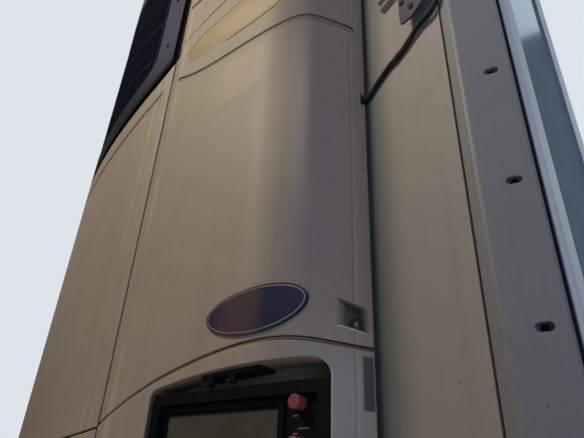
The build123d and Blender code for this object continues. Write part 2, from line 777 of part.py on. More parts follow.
def top_corner():
    inner_x = TRIM_HALF_WIDTH + SEAM
    face = corner_region(
        [upper_arch(DOOR_GAP / 2, inner_x)],
        [level(UNIT_TOP - TOP_BAND - SEAM / 2, inner_x)],
        inner_x,
    )
    panel = skin(UNIT_BOTTOM, UNIT_TOP) & front_prism(face)
    return panel - groove_tool(corner_groove(UPPER_GROOVE_PATH))


def top_cover():
    """Cap of the unit: a band of the housing with a closed top."""
    low = UNIT_TOP - TOP_BAND + SEAM / 2
    rear = WALL_FACE - WALL_GAP
    cover = filled(0, low, UNIT_TOP) - filled(SKIN, low - 1, UNIT_TOP - SKIN, rear - SKIN)
    reach = LIFT_WIDTH / 2 + LIFT_CLEARANCE
    half = LIFT_PLATE / 2 + LIFT_CLEARANCE
    y = WALL_FACE - LIFT_DEPTH
    for side in (-1, 1):
        x = side * LIFT_EYE_X
        cover -= box(x - half, x + half, y - reach, y + reach, UNIT_TOP - 2 * SKIN, UNIT_TOP + 1)
    return cover


def front_split(shift):
    """Seam between the front panel and the lower front panel, moved up or down by shift."""
    half = SEAM_X - SEAM / 2
    side_z = ARCH_START_Z - FRONT_SPLIT_DROP + shift
    return ThreePointArc((-half, side_z), (0, FRONT_SPLIT_Z + shift), (half, side_z))


def front_panel():
    half = SEAM_X - SEAM / 2
    low = front_split(SEAM / 2)
    top_z = sweep_z(TRIM_LOW_Z, half) - SEAM
    top = ThreePointArc((half, top_z), (0, TRIM_LOW_Z - SEAM), (-half, top_z))
    face = outline(low, Line(low @ 1, top @ 0), top, Line(top @ 1, low @ 0))
    panel = skin(UNIT_BOTTOM, UNIT_TOP) & front_prism(face)
    panel -= groove_tool(swept_band(GROOVE_LOW_Z, half - GROOVE_END, GROOVE_WIDTH))
    for z in (HINGE_LOW_Z, HINGE_HIGH_Z):
        pin = hinge_pin(z)
        panel += [pin, mirrored(pin)]
    return panel


def lower_front():
    half = SEAM_X - SEAM / 2
    top = front_split(-SEAM / 2)
    base = Line((-half, UNIT_BOTTOM), (half, UNIT_BOTTOM))
    face = outline(base, Line(base @ 1, top @ 1), top, Line(top @ 0, base @ 0))
    return skin(UNIT_BOTTOM, UNIT_TOP) & front_prism(face)


def trim_face(inset=0):
    """Outline of the grille's surround, drawn in by inset."""
    top = UNIT_TOP - TOP_BAND - SEAM / 2
    return swept_face(TRIM_HALF_WIDTH - inset, TRIM_LOW_Z + inset, top - inset, TRIM_CORNER)


def grille_top():
    return UNIT_TOP - TOP_BAND - GRILLE_TOP_GAP


def grille_face(grow):
    """Outline of the surround's opening, grown by grow."""
    half = GRILLE_HALF_WIDTH + grow
    return swept_face(half, GRILLE_LOW_Z - grow, grille_top() + grow, GRILLE_CORNER + grow)


def outer_layer(depth):
    """Layer of the housing's outside, down to a depth."""
    return skin(UNIT_BOTTOM - PAST, UNIT_TOP + PAST, -PAST / 2, depth)


def grille_trim():
    """Surround of the grille, with a sunk band along its edge and a step round its opening."""
    body = skin(UNIT_BOTTOM, UNIT_TOP, 0, TRIM_DEPTH) & front_prism(trim_face())
    band = front_prism(trim_face(-PAST)) - front_prism(trim_face(BAND_WIDTH))
    body -= outer_layer(BAND_DEPTH) & band
    body -= outer_layer(STEP_DEPTH) & front_prism(grille_face(STEP_WIDTH))
    return body - front_prism(grille_face(0))


def grille_window():
    """Slots between the upright bars and the cross ribs."""
    window = grille_face(-GRILLE_PLAY - GRILLE_RIM)
    height = grille_top() - GRILLE_LOW_Z
    for row in range(1, RIB_ROWS + 1):
        z = GRILLE_LOW_Z + height * row / (RIB_ROWS + 1)
        window -= Pos(0, z) * Rectangle(2 * TRIM_HALF_WIDTH, RIB_HEIGHT)
    count = int(GRILLE_HALF_WIDTH / SLOT_PITCH) + 1
    bar = SLOT_PITCH - SLOT_WIDTH
    middle_z = (GRILLE_LOW_Z + grille_top()) / 2
    bars = [Pos((i + 0.5) * SLOT_PITCH, middle_z) * Rectangle(bar, 2 * height) for i in range(-count, count)]
    return window - bars


def grille():
    """Deep upright bars that stand in the surround's opening, on a flange behind it."""
    back = TRIM_DEPTH + FIT + GRILLE_THICKNESS
    flange = skin(UNIT_BOTTOM, UNIT_TOP, TRIM_DEPTH + FIT, back) & front_prism(grille_face(GRILLE_LAP))
    field = skin(UNIT_BOTTOM, UNIT_TOP, GRILLE_SINK, back) & front_prism(grille_face(-GRILLE_PLAY))
    return flange + field - front_prism(grille_window())


# Machinery


def box_ring(width, depth, low, high):
    """Ring of the housing's inside between two insets."""
    return skin(low, high, width, width + depth, WALL_FACE)


def sides_only():
    """Space outside the grille's surround, on both sides."""
    x = TRIM_HALF_WIDTH + SEAM
    far = UNIT_HALF_WIDTH
    left = box(x, far, UNIT_FRONT, WALL_FACE, UNIT_BOTTOM, UNIT_TOP)
    return Part() + [left, mirrored(left)]


def cross_tube(z, front, reach):
    """Square tube across the unit with its front at a depth from the wall."""
    return box(-reach, reach, WALL_FACE - front, WALL_FACE - front + TUBE, z, z + TUBE)


def lift_plate():
    """Lifting plate that stands through the top cover, with its eye."""
    low = UNIT_TOP - TOP_BAND - TUBE
    eye_z = UNIT_TOP + LIFT_RISE
    half = LIFT_WIDTH / 2
    y = WALL_FACE - LIFT_DEPTH
    face = make_face(
        Polyline(
            (y - half, low),
            (y + half, low),
            (y + half, eye_z),
            (y - half, eye_z),
            close=True,
        )
    )
    face += Pos(y, eye_z) * Circle(half)
    face -= Pos(y, eye_z) * Circle(LIFT_EYE_RADIUS)
    plate = extrude(Plane.YZ.offset(LIFT_EYE_X - LIFT_PLATE / 2) * face, LIFT_PLATE)
    return plate


def frame_uprights():
    """Outer uprights of the ladder on the wall."""
    half = TUBE / 2
    low = UNIT_BOTTOM + PAN_THICKNESS
    side = box(UPRIGHT_X - half, UPRIGHT_X + half, WALL_FACE - TUBE, WALL_FACE, low, UNIT_TOP - TOP_BAND)
    return both_sides(side)


def cross_tubes():
    """Tubes between the outer uprights, with the lifting plates on the highest."""
    low = UNIT_BOTTOM + PAN_THICKNESS
    high = UNIT_TOP - TOP_BAND
    reach = UPRIGHT_X - TUBE / 2
    tubes = [cross_tube(z, TUBE, reach) for z in (low, MIDDLE_TUBE_Z, FAN_Z - TUBE / 2, high - TUBE)]
    plate = lift_plate()
    return Part() + tubes + [plate, mirrored(plate)]


def inner_frame():
    """Inner uprights, their runners back to the ladder, the tube between their feet, and the
    stay from the ladder to the front panel."""
    low = UNIT_BOTTOM + PAN_THICKNESS
    high = UNIT_TOP - TOP_BAND
    half = TUBE / 2
    back = WALL_FACE - INNER_DEPTH
    side = box(INNER_X - half, INNER_X + half, back, back + TUBE, low, high)
    for z in (low, high - TUBE):
        side += box(INNER_X - half, INNER_X + half, back, WALL_FACE - TUBE, z, z + TUBE)
    frame = side + mirrored(side) + cross_tube(low, INNER_DEPTH, INNER_X)
    front = UNIT_FRONT + SKIN + FIT
    return frame + box(-half, half, front, WALL_FACE - TUBE, MIDDLE_TUBE_Z, MIDDLE_TUBE_Z + TUBE)


def panel_bars():
    """Bent flat bars behind the corner panels' seams, welded to the outer uprights."""
    seat = SKIN + FIT
    bars = box_ring(seat, BAR_WIDTH, LOWER_BAR_Z, LOWER_BAR_Z + BAR_THICKNESS) - recess_space()
    bars += box_ring(seat, BAR_WIDTH, TOP_BAR_Z, TOP_BAR_Z + BAR_THICKNESS) & sides_only()
    return bars - frame_uprights()


def top_bar():
    """Bent bar under the top cover, its upturned lip, and the links to the inner uprights."""
    high = UNIT_TOP - TOP_BAND
    seat = SKIN + FIT
    low = high - BAR_THICKNESS
    bar = box_ring(seat, BAR_WIDTH, low, high) & sides_only()
    lap_rear = WALL_FACE - WALL_GAP - SKIN - FIT
    bar += skin(high, high + BAR_LAP, seat, seat + BAR_THICKNESS, lap_rear) & sides_only()
    bridge = box_ring(TRIM_DEPTH + FIT, BRIDGE_WIDTH, low, high)
    reach = TRIM_HALF_WIDTH - DOOR_GAP
    bar += bridge & box(-reach, reach, UNIT_FRONT, WALL_FACE, low - PAST, high)
    front = face_y(TRIM_HALF_WIDTH) + TRIM_DEPTH + LINK_INSET
    link = box(reach - LINK_LAP, TRIM_HALF_WIDTH + LINK_REACH, front, WALL_FACE - INNER_DEPTH, low, high)
    bar += [link, mirrored(link)]
    return bar - frame_uprights() - cross_tubes()


def recess_space():
    """Space kept free round the control recess."""
    middle = recess_plane((RECESS_NEAR + RECESS_FAR) / 2, LOWER_BAR_Z)
    behind = middle.offset(-RECESS_DEPTH - RECESS_WALL - RECESS_ROOM)
    width = RECESS_FAR - RECESS_NEAR + 4 * PAST
    return extrude(behind * Rectangle(width, BAR_WIDTH), INNER_DEPTH)


def base_pan():
    seat = SKIN + FIT
    return filled(seat, UNIT_BOTTOM, UNIT_BOTTOM + PAN_THICKNESS, WALL_FACE)


def fan(radius, hub, blades, width):
    """Axial fan turning about Y, centred on the origin."""
    turn = Rot(90, 0, 0)
    wheel = turn * Cylinder(hub, width)
    room = turn * Cylinder(radius, width)
    paddle = Pos((radius + hub) / 2, 0, 0) * Rot(FAN_PITCH, 0, 0) * Box(radius - hub + 10, FAN_BLADE, hub * 2.2)
    for i in range(blades):
        wheel += (Rot(0, 360 * i / blades, 0) * paddle) & room
    return wheel - turn * Cylinder(FAN_SHAFT + SHAFT_PLAY, width + 2)


def motor(length, shaft):
    """Fan motor with its rear face on the origin and its shaft along -Y."""
    body = Pos(0, -length / 2, 0) * Rot(90, 0, 0) * Cylinder(MOTOR_RADIUS, length)
    rod = Pos(0, -(length + shaft) / 2, 0) * Rot(90, 0, 0) * Cylinder(FAN_SHAFT, length + shaft)
    return body + rod


def both_sides(shape):
    return Compound([shape, mirrored(shape)])


def condenser_fan():
    return Pos(FAN_X, WALL_FACE - FAN_DEPTH, FAN_Z) * fan(FAN_RADIUS, FAN_HUB, FAN_BLADES, FAN_WIDTH)


def condenser_motors():
    length = FAN_DEPTH - FAN_WIDTH / 2 - MOTOR_GAP - TUBE
    piece = Pos(FAN_X, WALL_FACE - TUBE, FAN_Z) * motor(length, MOTOR_GAP + FAN_WIDTH)
    return both_sides(piece)


def fan_shroud():
    """Plate in front of the condenser fans with a ring round each."""
    front = WALL_FACE - INNER_DEPTH - SHROUD_WALL
    reach = INNER_X + TUBE / 2
    low = CONDENSER_LOW_Z
    plate = box(-reach, reach, front, front + SHROUD_WALL, low, low + CONDENSER_HEIGHT)
    depth = INNER_DEPTH - FAN_DEPTH + FAN_WIDTH / 2 + SHROUD_WALL
    for side in (-1, 1):
        spot = Pos(side * FAN_X, front + depth / 2, FAN_Z) * Rot(90, 0, 0)
        plate += spot * Cylinder(FAN_RADIUS + FAN_CLEARANCE + SHROUD_WALL, depth)
    for side in (-1, 1):
        spot = Pos(side * FAN_X, front + depth / 2, FAN_Z) * Rot(90, 0, 0)
        plate -= spot * Cylinder(FAN_RADIUS + FAN_CLEARANCE, depth + 2)
    return plate


def condenser_coil():
    front = WALL_FACE - INNER_DEPTH - SHROUD_WALL
    low = CONDENSER_LOW_Z
    reach = CONDENSER_REACH
    return box(-reach, reach, front - CONDENSER_THICKNESS, front, low, low + CONDENSER_HEIGHT)


def engine():
    low = UNIT_BOTTOM + PAN_THICKNESS + TUBE
    depth, height = ENGINE_SIZE
    back = WALL_FACE - ENGINE_DEPTH
    block = box(-ENGINE_WIDTH / 2, ENGINE_WIDTH / 2, back - depth, back, low, low + height)
    return fillet(block.edges(), ENGINE_ROUND)


def compressor():
    low = UNIT_BOTTOM + PAN_THICKNESS + TUBE
    width, depth, height = COMPRESSOR_SIZE
    back = WALL_FACE - COMPRESSOR_DEPTH
    x = COMPRESSOR_X
    block = box(x - width / 2, x + width / 2, back - depth, back, low, low + height)
    return fillet(block.edges(), ENGINE_ROUND)


def battery():
    low = UNIT_BOTTOM + PAN_THICKNESS
    width, depth, height = BATTERY_SIZE
    back = WALL_FACE - BATTERY_DEPTH
    x = -BATTERY_X
    return box(x - width / 2, x + width / 2, back - depth, back, low, low + height)


def evaporator_housing():
    """Tray in the wall's hatch, open towards the load space."""
    half = EVAP_HALF_WIDTH
    wall = EVAP_SKIN
    rear = EVAP_REACH - wall
    tray = box(-half, half, WALL_FACE, rear, EVAP_BOTTOM, EVAP_TOP)
    return tray - box(-half + wall, half - wall, WALL_FACE + wall, rear + 1, EVAP_BOTTOM + wall, EVAP_TOP - wall)


def evaporator_cover():
    """Rear plate of the tray with two fan openings and the air outlet above them."""
    half = EVAP_HALF_WIDTH
    front = EVAP_REACH - EVAP_SKIN
    plate = box(-half, half, front, EVAP_REACH, EVAP_BOTTOM, EVAP_TOP)
    reach = half - OUTLET_SIDE
    plate -= box(-reach, reach, front - 1, EVAP_REACH + 1, OUTLET_LOW_Z, OUTLET_LOW_Z + OUTLET_HEIGHT)
    for side in (-1, 1):
        spot = Pos(side * EVAP_FAN_X, EVAP_REACH, EVAP_FAN_Z) * Rot(90, 0, 0)
        plate -= spot * Cylinder(EVAP_FAN_RADIUS + FAN_CLEARANCE, 4 * EVAP_SKIN)
    return plate


def evaporator_coil():
    half = EVAP_HALF_WIDTH - EVAP_SKIN - COIL_CLEARANCE
    low = EVAP_BOTTOM + EVAP_SKIN
    back = WALL_FACE + EVAP_SKIN + COIL_CLEARANCE
    return box(-half, half, back, back + COIL_THICKNESS, low, low + COIL_HEIGHT)


def evaporator_fan_y():
    return EVAP_REACH - EVAP_SKIN / 2 - FAN_WIDTH / 2 - MOTOR_GAP


def evaporator_motors():
    coil_front = WALL_FACE + EVAP_SKIN + COIL_CLEARANCE + COIL_THICKNESS
    length = evaporator_fan_y() - FAN_WIDTH / 2 - MOTOR_GAP - coil_front
    piece = Rot(0, 0, 180) * motor(length, MOTOR_GAP + FAN_WIDTH)
    return both_sides(Pos(EVAP_FAN_X, coil_front, EVAP_FAN_Z) * piece)


def evaporator_fan():
    return Pos(EVAP_FAN_X, evaporator_fan_y(), EVAP_FAN_Z) * fan(EVAP_FAN_RADIUS, FAN_HUB, FAN_BLADES, FAN_WIDTH)


def corner_radii(points):
    """Largest arc at each inner point that leaves a little of each run straight."""
    radii = []
    for before, here, after in zip(points, points[1:], points[2:]):
        first = Vector(*here) - Vector(*before)
        second = Vector(*after) - Vector(*here)
        turn = radians(first.get_angle(second))
        radii.append(BEND_SHARE * min(first.length, second.length) / tan(turn / 2))
    return radii


def cable():
    """Cable that leaves the gap beside the housing and runs to the bracket and up."""
    points = cable_points()
    path = FilletPolyline(*points, radius=corner_radii(points))
    return sweep(Plane(origin=path @ 0, z_dir=path % 0) * Circle(CABLE_RADIUS), path)


def cable_bracket():
    """Bent cover plate on the wall that holds the cable, with a sloped lower lip."""
    face = make_face(Polyline(*[(CAP_INNER_X + x, z) for x, z in BRACKET_OUTLINE], close=True))
    face = fillet(face.vertices(), BRACKET_ROUND)
    plate = extrude(Plane.XZ.offset(-WALL_FACE + BRACKET_STAND) * face, BRACKET_PLATE)
    low_x, high_x = BRACKET_FOOT
    top_z = max(z for _, z in BRACKET_OUTLINE)
    foot = box(
        CAP_INNER_X + low_x,
        CAP_INNER_X + high_x,
        WALL_FACE - BRACKET_STAND - BRACKET_PLATE / 2,
        WALL_FACE,
        top_z - BRACKET_PLATE,
        top_z,
    )
    return plate + foot


def badge_plate():
    """Blank oval plate on the door."""
    width, height, thickness = BADGE_SIZE
    plane = face_plane(BADGE_ALONG, BADGE_Z).offset(FIT)
    return extrude(plane * Ellipse(width / 2, height / 2), thickness)


save(wall_panel(), "wall_panel")
save(rail(WALL_BOTTOM, WALL_BOTTOM + RAIL_HEIGHT), "bottom_rail")
save(rail(WALL_TOP - TOP_RAIL_HEIGHT, WALL_TOP), "top_rail")
cap = corner_cap()
save(cap, "corner_cap_left")
save(mirrored(cap), "corner_cap_right")
post = bolt_holes(corner_post())
save(post, "corner_post_left")
save(mirrored(post), "corner_post_right")
save(frame_uprights(), "frame_uprights")
save(cross_tubes(), "cross_tubes")
save(inner_frame(), "inner_frame")
save(panel_bars(), "panel_bars")
save(top_bar(), "top_bar")
save(base_pan(), "base_pan")
save(lower_corner_left(), "lower_corner_left")
save(mirrored(lower_corner()), "lower_corner_right")
save(door_left(), "door_left")
save(mirrored(door()), "door_right")
top_panel = top_corner()
save(top_panel, "top_corner_left")
save(mirrored(top_panel), "top_corner_right")
save(top_cover(), "top_cover")
save(front_panel(), "front_panel")
save(lower_front(), "lower_front")
save(grille_trim(), "grille_trim")
save(grille(), "grille")
save(control_panel(), "control_panel")
save(display(), "display")
save(buttons(), "buttons")
save(latch_keeper(), "latch_keeper")
save(badge_plate(), "badge_plate")
rotor = condenser_fan()
save(rotor, "condenser_fan_left")
save(mirrored(rotor), "condenser_fan_right")
save(condenser_motors(), "condenser_motors")
save(fan_shroud(), "fan_shroud")
save(condenser_coil(), "condenser_coil")
save(engine(), "engine")
save(compressor(), "compressor")
save(battery(), "battery")
save(evaporator_housing(), "evaporator_housing")
save(evaporator_cover(), "evaporator_cover")
save(evaporator_coil(), "evaporator_coil")
rotor = evaporator_fan()
save(rotor, "evaporator_fan_left")
save(mirrored(rotor), "evaporator_fan_right")
save(evaporator_motors(), "evaporator_motors")
save(cable(), "cable")
save(cable_bracket(), "cable_bracket")
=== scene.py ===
from math import cos, pi, radians, sin, sqrt, tan

import bmesh
import bpy
from mathutils import Matrix, Vector


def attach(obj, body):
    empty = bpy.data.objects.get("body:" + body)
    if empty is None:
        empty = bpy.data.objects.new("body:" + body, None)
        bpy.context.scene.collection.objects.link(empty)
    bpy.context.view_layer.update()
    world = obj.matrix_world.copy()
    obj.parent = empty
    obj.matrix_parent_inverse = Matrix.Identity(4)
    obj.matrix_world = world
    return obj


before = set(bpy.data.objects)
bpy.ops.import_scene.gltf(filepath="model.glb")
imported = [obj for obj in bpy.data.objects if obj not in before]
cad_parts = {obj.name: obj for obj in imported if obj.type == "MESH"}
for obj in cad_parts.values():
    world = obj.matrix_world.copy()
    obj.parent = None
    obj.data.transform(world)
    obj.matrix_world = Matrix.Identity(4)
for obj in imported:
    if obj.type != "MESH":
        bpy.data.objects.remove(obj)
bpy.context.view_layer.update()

# Places shared with the part's source, in metres and radians; both halves mirror at x = 0

# Wall, and the slanted strip of its corner mouldings with a row of slots
WALL_FACE, WALL_LOW, WALL_HIGH = -0.14, -0.16, 2.76
CHAMFER_X, CHAMFER_ACROSS, CHAMFER_BACK = 1.244, 0.05, 0.037
CHAMFER_YAW = radians(36.5)
SLOT_SHARE, SLOT_FIRST, SLOT_PITCH, SLOTS = 0.63, 0.111, 0.177, 16

# Corner extrusion: front of its nose, and the glossy strip between nose and bead
NOSE_FRONT, STRIP_FRONT, STRIP_BACK = -0.094, -0.074, -0.012

# Housing in plan: flat front, wide bend, slanted face, round corner, side flange
SIDE, CORNER_Y, YAW = 1.025, -0.228, radians(24.66)
FRONT_Y, FRONT_FLAT, BEND_SHARE = -0.57, 0.28, 0.805
BEND_X = FRONT_FLAT * (1 - BEND_SHARE)
BEND = FRONT_FLAT * BEND_SHARE / tan(YAW / 2)
BEND_END = BEND_X + BEND * sin(YAW)
ROUND = 0.09
ROUND_Y = CORNER_Y + ROUND * (1 - sin(YAW)) / cos(YAW)
ROUND_START = SIDE - ROUND * (1 - sin(YAW))

# Upright seam beside the centre panel, arched seam through five places, and the brown strip in it
# that paints its shade
SEAM_X = 0.56
ARCH = ((0.563, 0.958), (0.663, 1.009), (0.777, 1.042), (0.929, 1.058), (1.03, 1.037))
SEAM_STRIP_DROP, SEAM_STRIP_DEPTH = 0.0008, 0.003

# Control recess, turned further than the face around it
RECESS_FAR, RECESS_YAW, CONTROL_FLOOR = 0.366, YAW + radians(2.5), -0.016
BUTTON_ALONG, BUTTON_TOP, BUTTON_PITCH, BUTTONS = 0.058, 0.968, 0.053, 4

# Grille's surround: middle of its swept foot, half width, radius, top, and edge bands
TRIM_LOW, TRIM_HALF, TRIM_SWEEP, TRIM_TOP = 1.696, 0.565, 0.9, 2.535
TRIM_BAND, TRIM_FOOT = 0.0275, 0.04

# Evaporator on the load side
EVAP_REACH, EVAP_FAN_X, EVAP_FAN_Z = 0.17, 0.33, 2.09
EVAP_LOW, EVAP_HIGH, OUTLET_LOW = 1.83, 2.57, 2.42

# Places of the housing's finish alone

# Soft forms: corners that turn early, edges rolled at the seam, a crease on the flange
SWELL_START, SWELL_END, SWELL_SLOPE = 0.86, 0.9726, 1.0
ROLL_REACH, ROLL_SLOPE = 0.032, 0.3
CREASE_Y = -0.178
# Painted highlights on the rolled edges: place across, reach and strength
ROLLED_HIGHLIGHTS = ((0.508, 0.012, 0.35), (0.532, 0.008, 0.25), (0.588, 0.012, 0.35))


# Camera

def photo_camera():
    """Camera at the photograph's viewing angle."""
    yaw, pitch, roll = radians(25), radians(29.44), radians(2.78)
    place, focal_pixels, frame_pixels = (1.604, -0.555, 0.85), 500, 584
    ahead = Vector((-cos(yaw) * cos(pitch), sin(yaw) * cos(pitch), sin(pitch)))
    level = Vector((sin(yaw), cos(yaw), 0))
    lifted = level.cross(ahead)
    right = cos(roll) * level + sin(roll) * lifted
    up = cos(roll) * lifted - sin(roll) * level
    camera = bpy.data.objects.new("photo_camera", bpy.data.cameras.new("photo_camera"))
    bpy.context.scene.collection.objects.link(camera)
    camera.data.sensor_width = 36
    camera.data.lens = 36 * focal_pixels / frame_pixels
    camera.data.clip_start = 0.02
    turn = Matrix((right, up, -ahead)).transposed().to_4x4()
    camera.matrix_world = Matrix.Translation(place) @ turn
    bpy.context.scene.camera = camera


photo_camera()


# Finishes

def srgb(red, green, blue):
    """A colour as it looks on screen, 0 to 255, made linear for a shader."""
    shares = [c / 255 for c in (red, green, blue)]
    return (*[s / 12.92 if s <= 0.04045 else ((s + 0.055) / 1.055) ** 2.4 for s in shares], 1)


def shaded(colour, share):
    """That colour made darker, or lighter where the share is above 1."""
    return srgb(*[min(255, c * share) for c in colour])


class Value:
    """A socket of a node, mostly something that varies over a surface; sums add Math nodes."""

    def __init__(self, nodes, socket):
        self.nodes = nodes
        self.socket = socket

    def maths(self, operation, *terms):
        """One Math node on these terms, which are values or numbers."""
        settings = {"operation": operation}
        return self.nodes.node("ShaderNodeMath", settings, dict(enumerate(terms)))

    def __add__(self, other):
        return self.maths("ADD", self, other)

    def __radd__(self, other):
        return self.maths("ADD", other, self)

    def __sub__(self, other):
        return self.maths("SUBTRACT", self, other)

    def __rsub__(self, other):
        return self.maths("SUBTRACT", other, self)

    def __mul__(self, other):
        return self.maths("MULTIPLY", self, other)

    def __rmul__(self, other):
        return self.maths("MULTIPLY", other, self)

    def __abs__(self):
        return self.maths("ABSOLUTE", self)

    def most(self, other):
        return self.maths("MAXIMUM", self, other)

    def least(self, other):
        return self.maths("MINIMUM", self, other)

    def root(self):
        return self.maths("SQRT", self)

    def wave(self):
        return self.maths("SINE", self)

    def rise(self, low, high):
        """0 below low, 1 above high, smooth between."""
        settings = {"interpolation_type": "SMOOTHSTEP"}
        sockets = {0: self, 1: low, 2: high, 3: 0, 4: 1}
        return self.nodes.node("ShaderNodeMapRange", settings, sockets)

    def fall(self, low, high):
        """1 below low, 0 above high, smooth between."""
        return 1 - self.rise(low, high)

    def between(self, start, full, fading, gone):
        """0 up to start, 1 from full to fading, 0 again when gone."""
        return self.rise(start, full) * self.fall(fading, gone)


class Nodes:
    """A node tree, in which one method makes every node."""

    def __init__(self, tree):
        self.tree = tree

    def node(self, kind, settings=None, inputs=None, output=0):
        """Makes a node: first its settings, then the values or links of its sockets."""
        made = self.tree.nodes.new(kind)
        for key, value in (settings or {}).items():
            setattr(made, key, value)
        for key, value in (inputs or {}).items():
            if isinstance(value, Value):
                self.tree.links.new(value.socket, made.inputs[key])
            else:
                made.inputs[key].default_value = value
        return Value(self, made.outputs[output])

    def end(self, shader):
        """Makes that shader the one that the whole tree gives."""
        self.tree.links.new(shader.socket, self.tree.get_output_node("ALL").inputs[0])


class Finish(Nodes):
    """A material: its nodes and its surface shader."""

    def __init__(self, name, **uniform):
        self.material = bpy.data.materials.new(name)
        self.material.use_nodes = True
        super().__init__(self.material.node_tree)
        self.surface = self.tree.nodes["Principled BSDF"]
        for socket, value in uniform.items():
            self.surface.inputs[socket.replace("_", " ")].default_value = value
        self.place = self.node("ShaderNodeTexCoord", output="Object")

    def feed(self, **sockets):
        """Links what varies to the surface shader's sockets."""
        for socket, value in sockets.items():
            self.tree.links.new(value.socket, self.surface.inputs[socket.replace("_", " ")])

    def axis(self, number):
        """The place along one axis: 0 across, 1 towards the load, 2 up."""
        return self.node("ShaderNodeSeparateXYZ", {}, {0: self.place}, number)

    def stretched(self, stretch):
        """The place with its axes scaled, for patterns that run long one way."""
        settings = {"operation": "MULTIPLY"}
        return self.node("ShaderNodeVectorMath", settings, {0: self.place, 1: stretch})

    def noise(self, scale, detail=3, roughness=0.5, stretch=(1, 1, 1)):
        """Soft patches, smaller at a larger scale."""
        sockets = {"Scale": scale, "Detail": detail, "Roughness": roughness}
        sockets["Vector"] = self.stretched(stretch)
        return self.node("ShaderNodeTexNoise", {}, sockets)

    def specks(self, scale, size):
        """1 on scattered round specks of that share of their cell."""
        sockets = {"Vector": self.place, "Scale": scale}
        return self.node("ShaderNodeTexVoronoi", {}, sockets).fall(size * 0.6, size)

    def mix(self, factor, base, over):
        """The base colour at 0, the colour over it at 1."""
        sockets = {0: factor, 6: base, 7: over}
        return self.node("ShaderNodeMix", {"data_type": "RGBA"}, sockets, 2)

    def layered(self, base, *layers):
        """A base colour under layers, each with its mask and its colour."""
        for mask, colour in layers:
            base = self.mix(mask, base, colour)
        return base

    def crevice(self, reach):
        """1 in corners and gaps, 0 on open surface."""
        settings = {"samples": 6}
        return 1 - self.node("ShaderNodeAmbientOcclusion", settings, {"Distance": reach}, "AO")

    def facing(self, number):
        """How far the surface is turned along an axis, -1 to 1."""
        plain = self.node("ShaderNodeNewGeometry", output="Normal")
        return self.node("ShaderNodeSeparateXYZ", {}, {0: plain}, number)

    def edge_turn(self, reach):
        """0 on open surface, rising towards edges within reach."""
        soft = self.node("ShaderNodeBevel", {"samples": 6}, {"Radius": reach})
        plain = self.node("ShaderNodeNewGeometry", output="Normal")
        settings = {"operation": "DOT_PRODUCT"}
        return 1 - self.node("ShaderNodeVectorMath", settings, {0: soft, 1: plain}, "Value")

    def relief(self, height, depth, strength=1, edge=0, swell=None):
        """Raises a pattern by depth metres.

        The edges under it are rounded by edge metres, and swell is a height in metres.
        """
        sockets = {"Height": height, "Distance": depth, "Strength": strength}
        if edge:
            sockets["Normal"] = self.node("ShaderNodeBevel", {"samples": 4}, {"Radius": edge})
        if swell:
            wide = {"Height": swell, "Distance": 1, "Strength": 1, "Normal": sockets["Normal"]}
            sockets["Normal"] = self.node("ShaderNodeBump", {}, wide)
        self.feed(Normal=self.node("ShaderNodeBump", {}, sockets))


def gel_coat(
    name, colour, grime_and_shade, roughness, wear, edge=0.0016, reach=0.035, specked=0.44, swell=None
):
    """Aged moulded panel: mottled, with dust and painted shade in corners, rain streaks, specks,
    and the layers of its wear function, wear with painted light and shade.
    """
    made = Finish(name, IOR=1.48, Coat_Roughness=0.25)
    streaks = made.noise(1, 5, 0.62, (26, 26, 1.1))
    blotches = made.noise(11, 6, 0.62)
    specks = made.specks(30, 0.06) * made.noise(6, 2).rise(specked, specked + 0.08)
    # Dust and painted shade in corners and gaps, where little light reaches
    corners = made.crevice(reach).rise(0.25, 0.95)
    shade = made.layered(
        srgb(*colour),
        (made.noise(2.1, 4, 0.55).rise(0.3, 0.75) * 0.35, shaded(colour, 0.93)),
        (streaks.rise(0.5, 0.78) * 0.16, srgb(*grime_and_shade)),
        (blotches.rise(0.56, 0.74) * 0.12, srgb(*grime_and_shade)),
        (corners * 0.35, srgb(*grime_and_shade)),
        # Layers of the wear function: wear, and painted light and shade
        *wear(made, colour, grime_and_shade),
        (specks * 0.6, srgb(58, 52, 46)),
    )
    made.feed(
        Base_Color=shade,
        Roughness=roughness + blotches * 0.14 + corners * 0.25,
        Coat_Weight=0.12 - 0.1 * streaks,
    )
    grain = made.noise(240, 2) + 3 * made.noise(5, 2)
    made.relief(grain, 0.0006, 0.25, edge, swell(made) if swell else None)
    return made


def painted_shade_below(made, colour, grime_and_shade):
    """Painted shade, darker towards the bottom and thinner upwards."""
    return [(made.axis(2).fall(0.7, 1.7) * 0.4, srgb(*grime_and_shade))]


def shadowed_wall(made, colour, grime_and_shade):
    """Painted shade darker towards the bottom, and a painted shadow close beside the unit."""
    # Painted shadow on the wall close beside the unit
    beside = abs(made.axis(0)).between(SIDE - 0.02, SIDE, SIDE + 0.01, SIDE + 0.085)
    return painted_shade_below(made, colour, grime_and_shade) + [(beside * 0.8, srgb(84, 92, 94))]


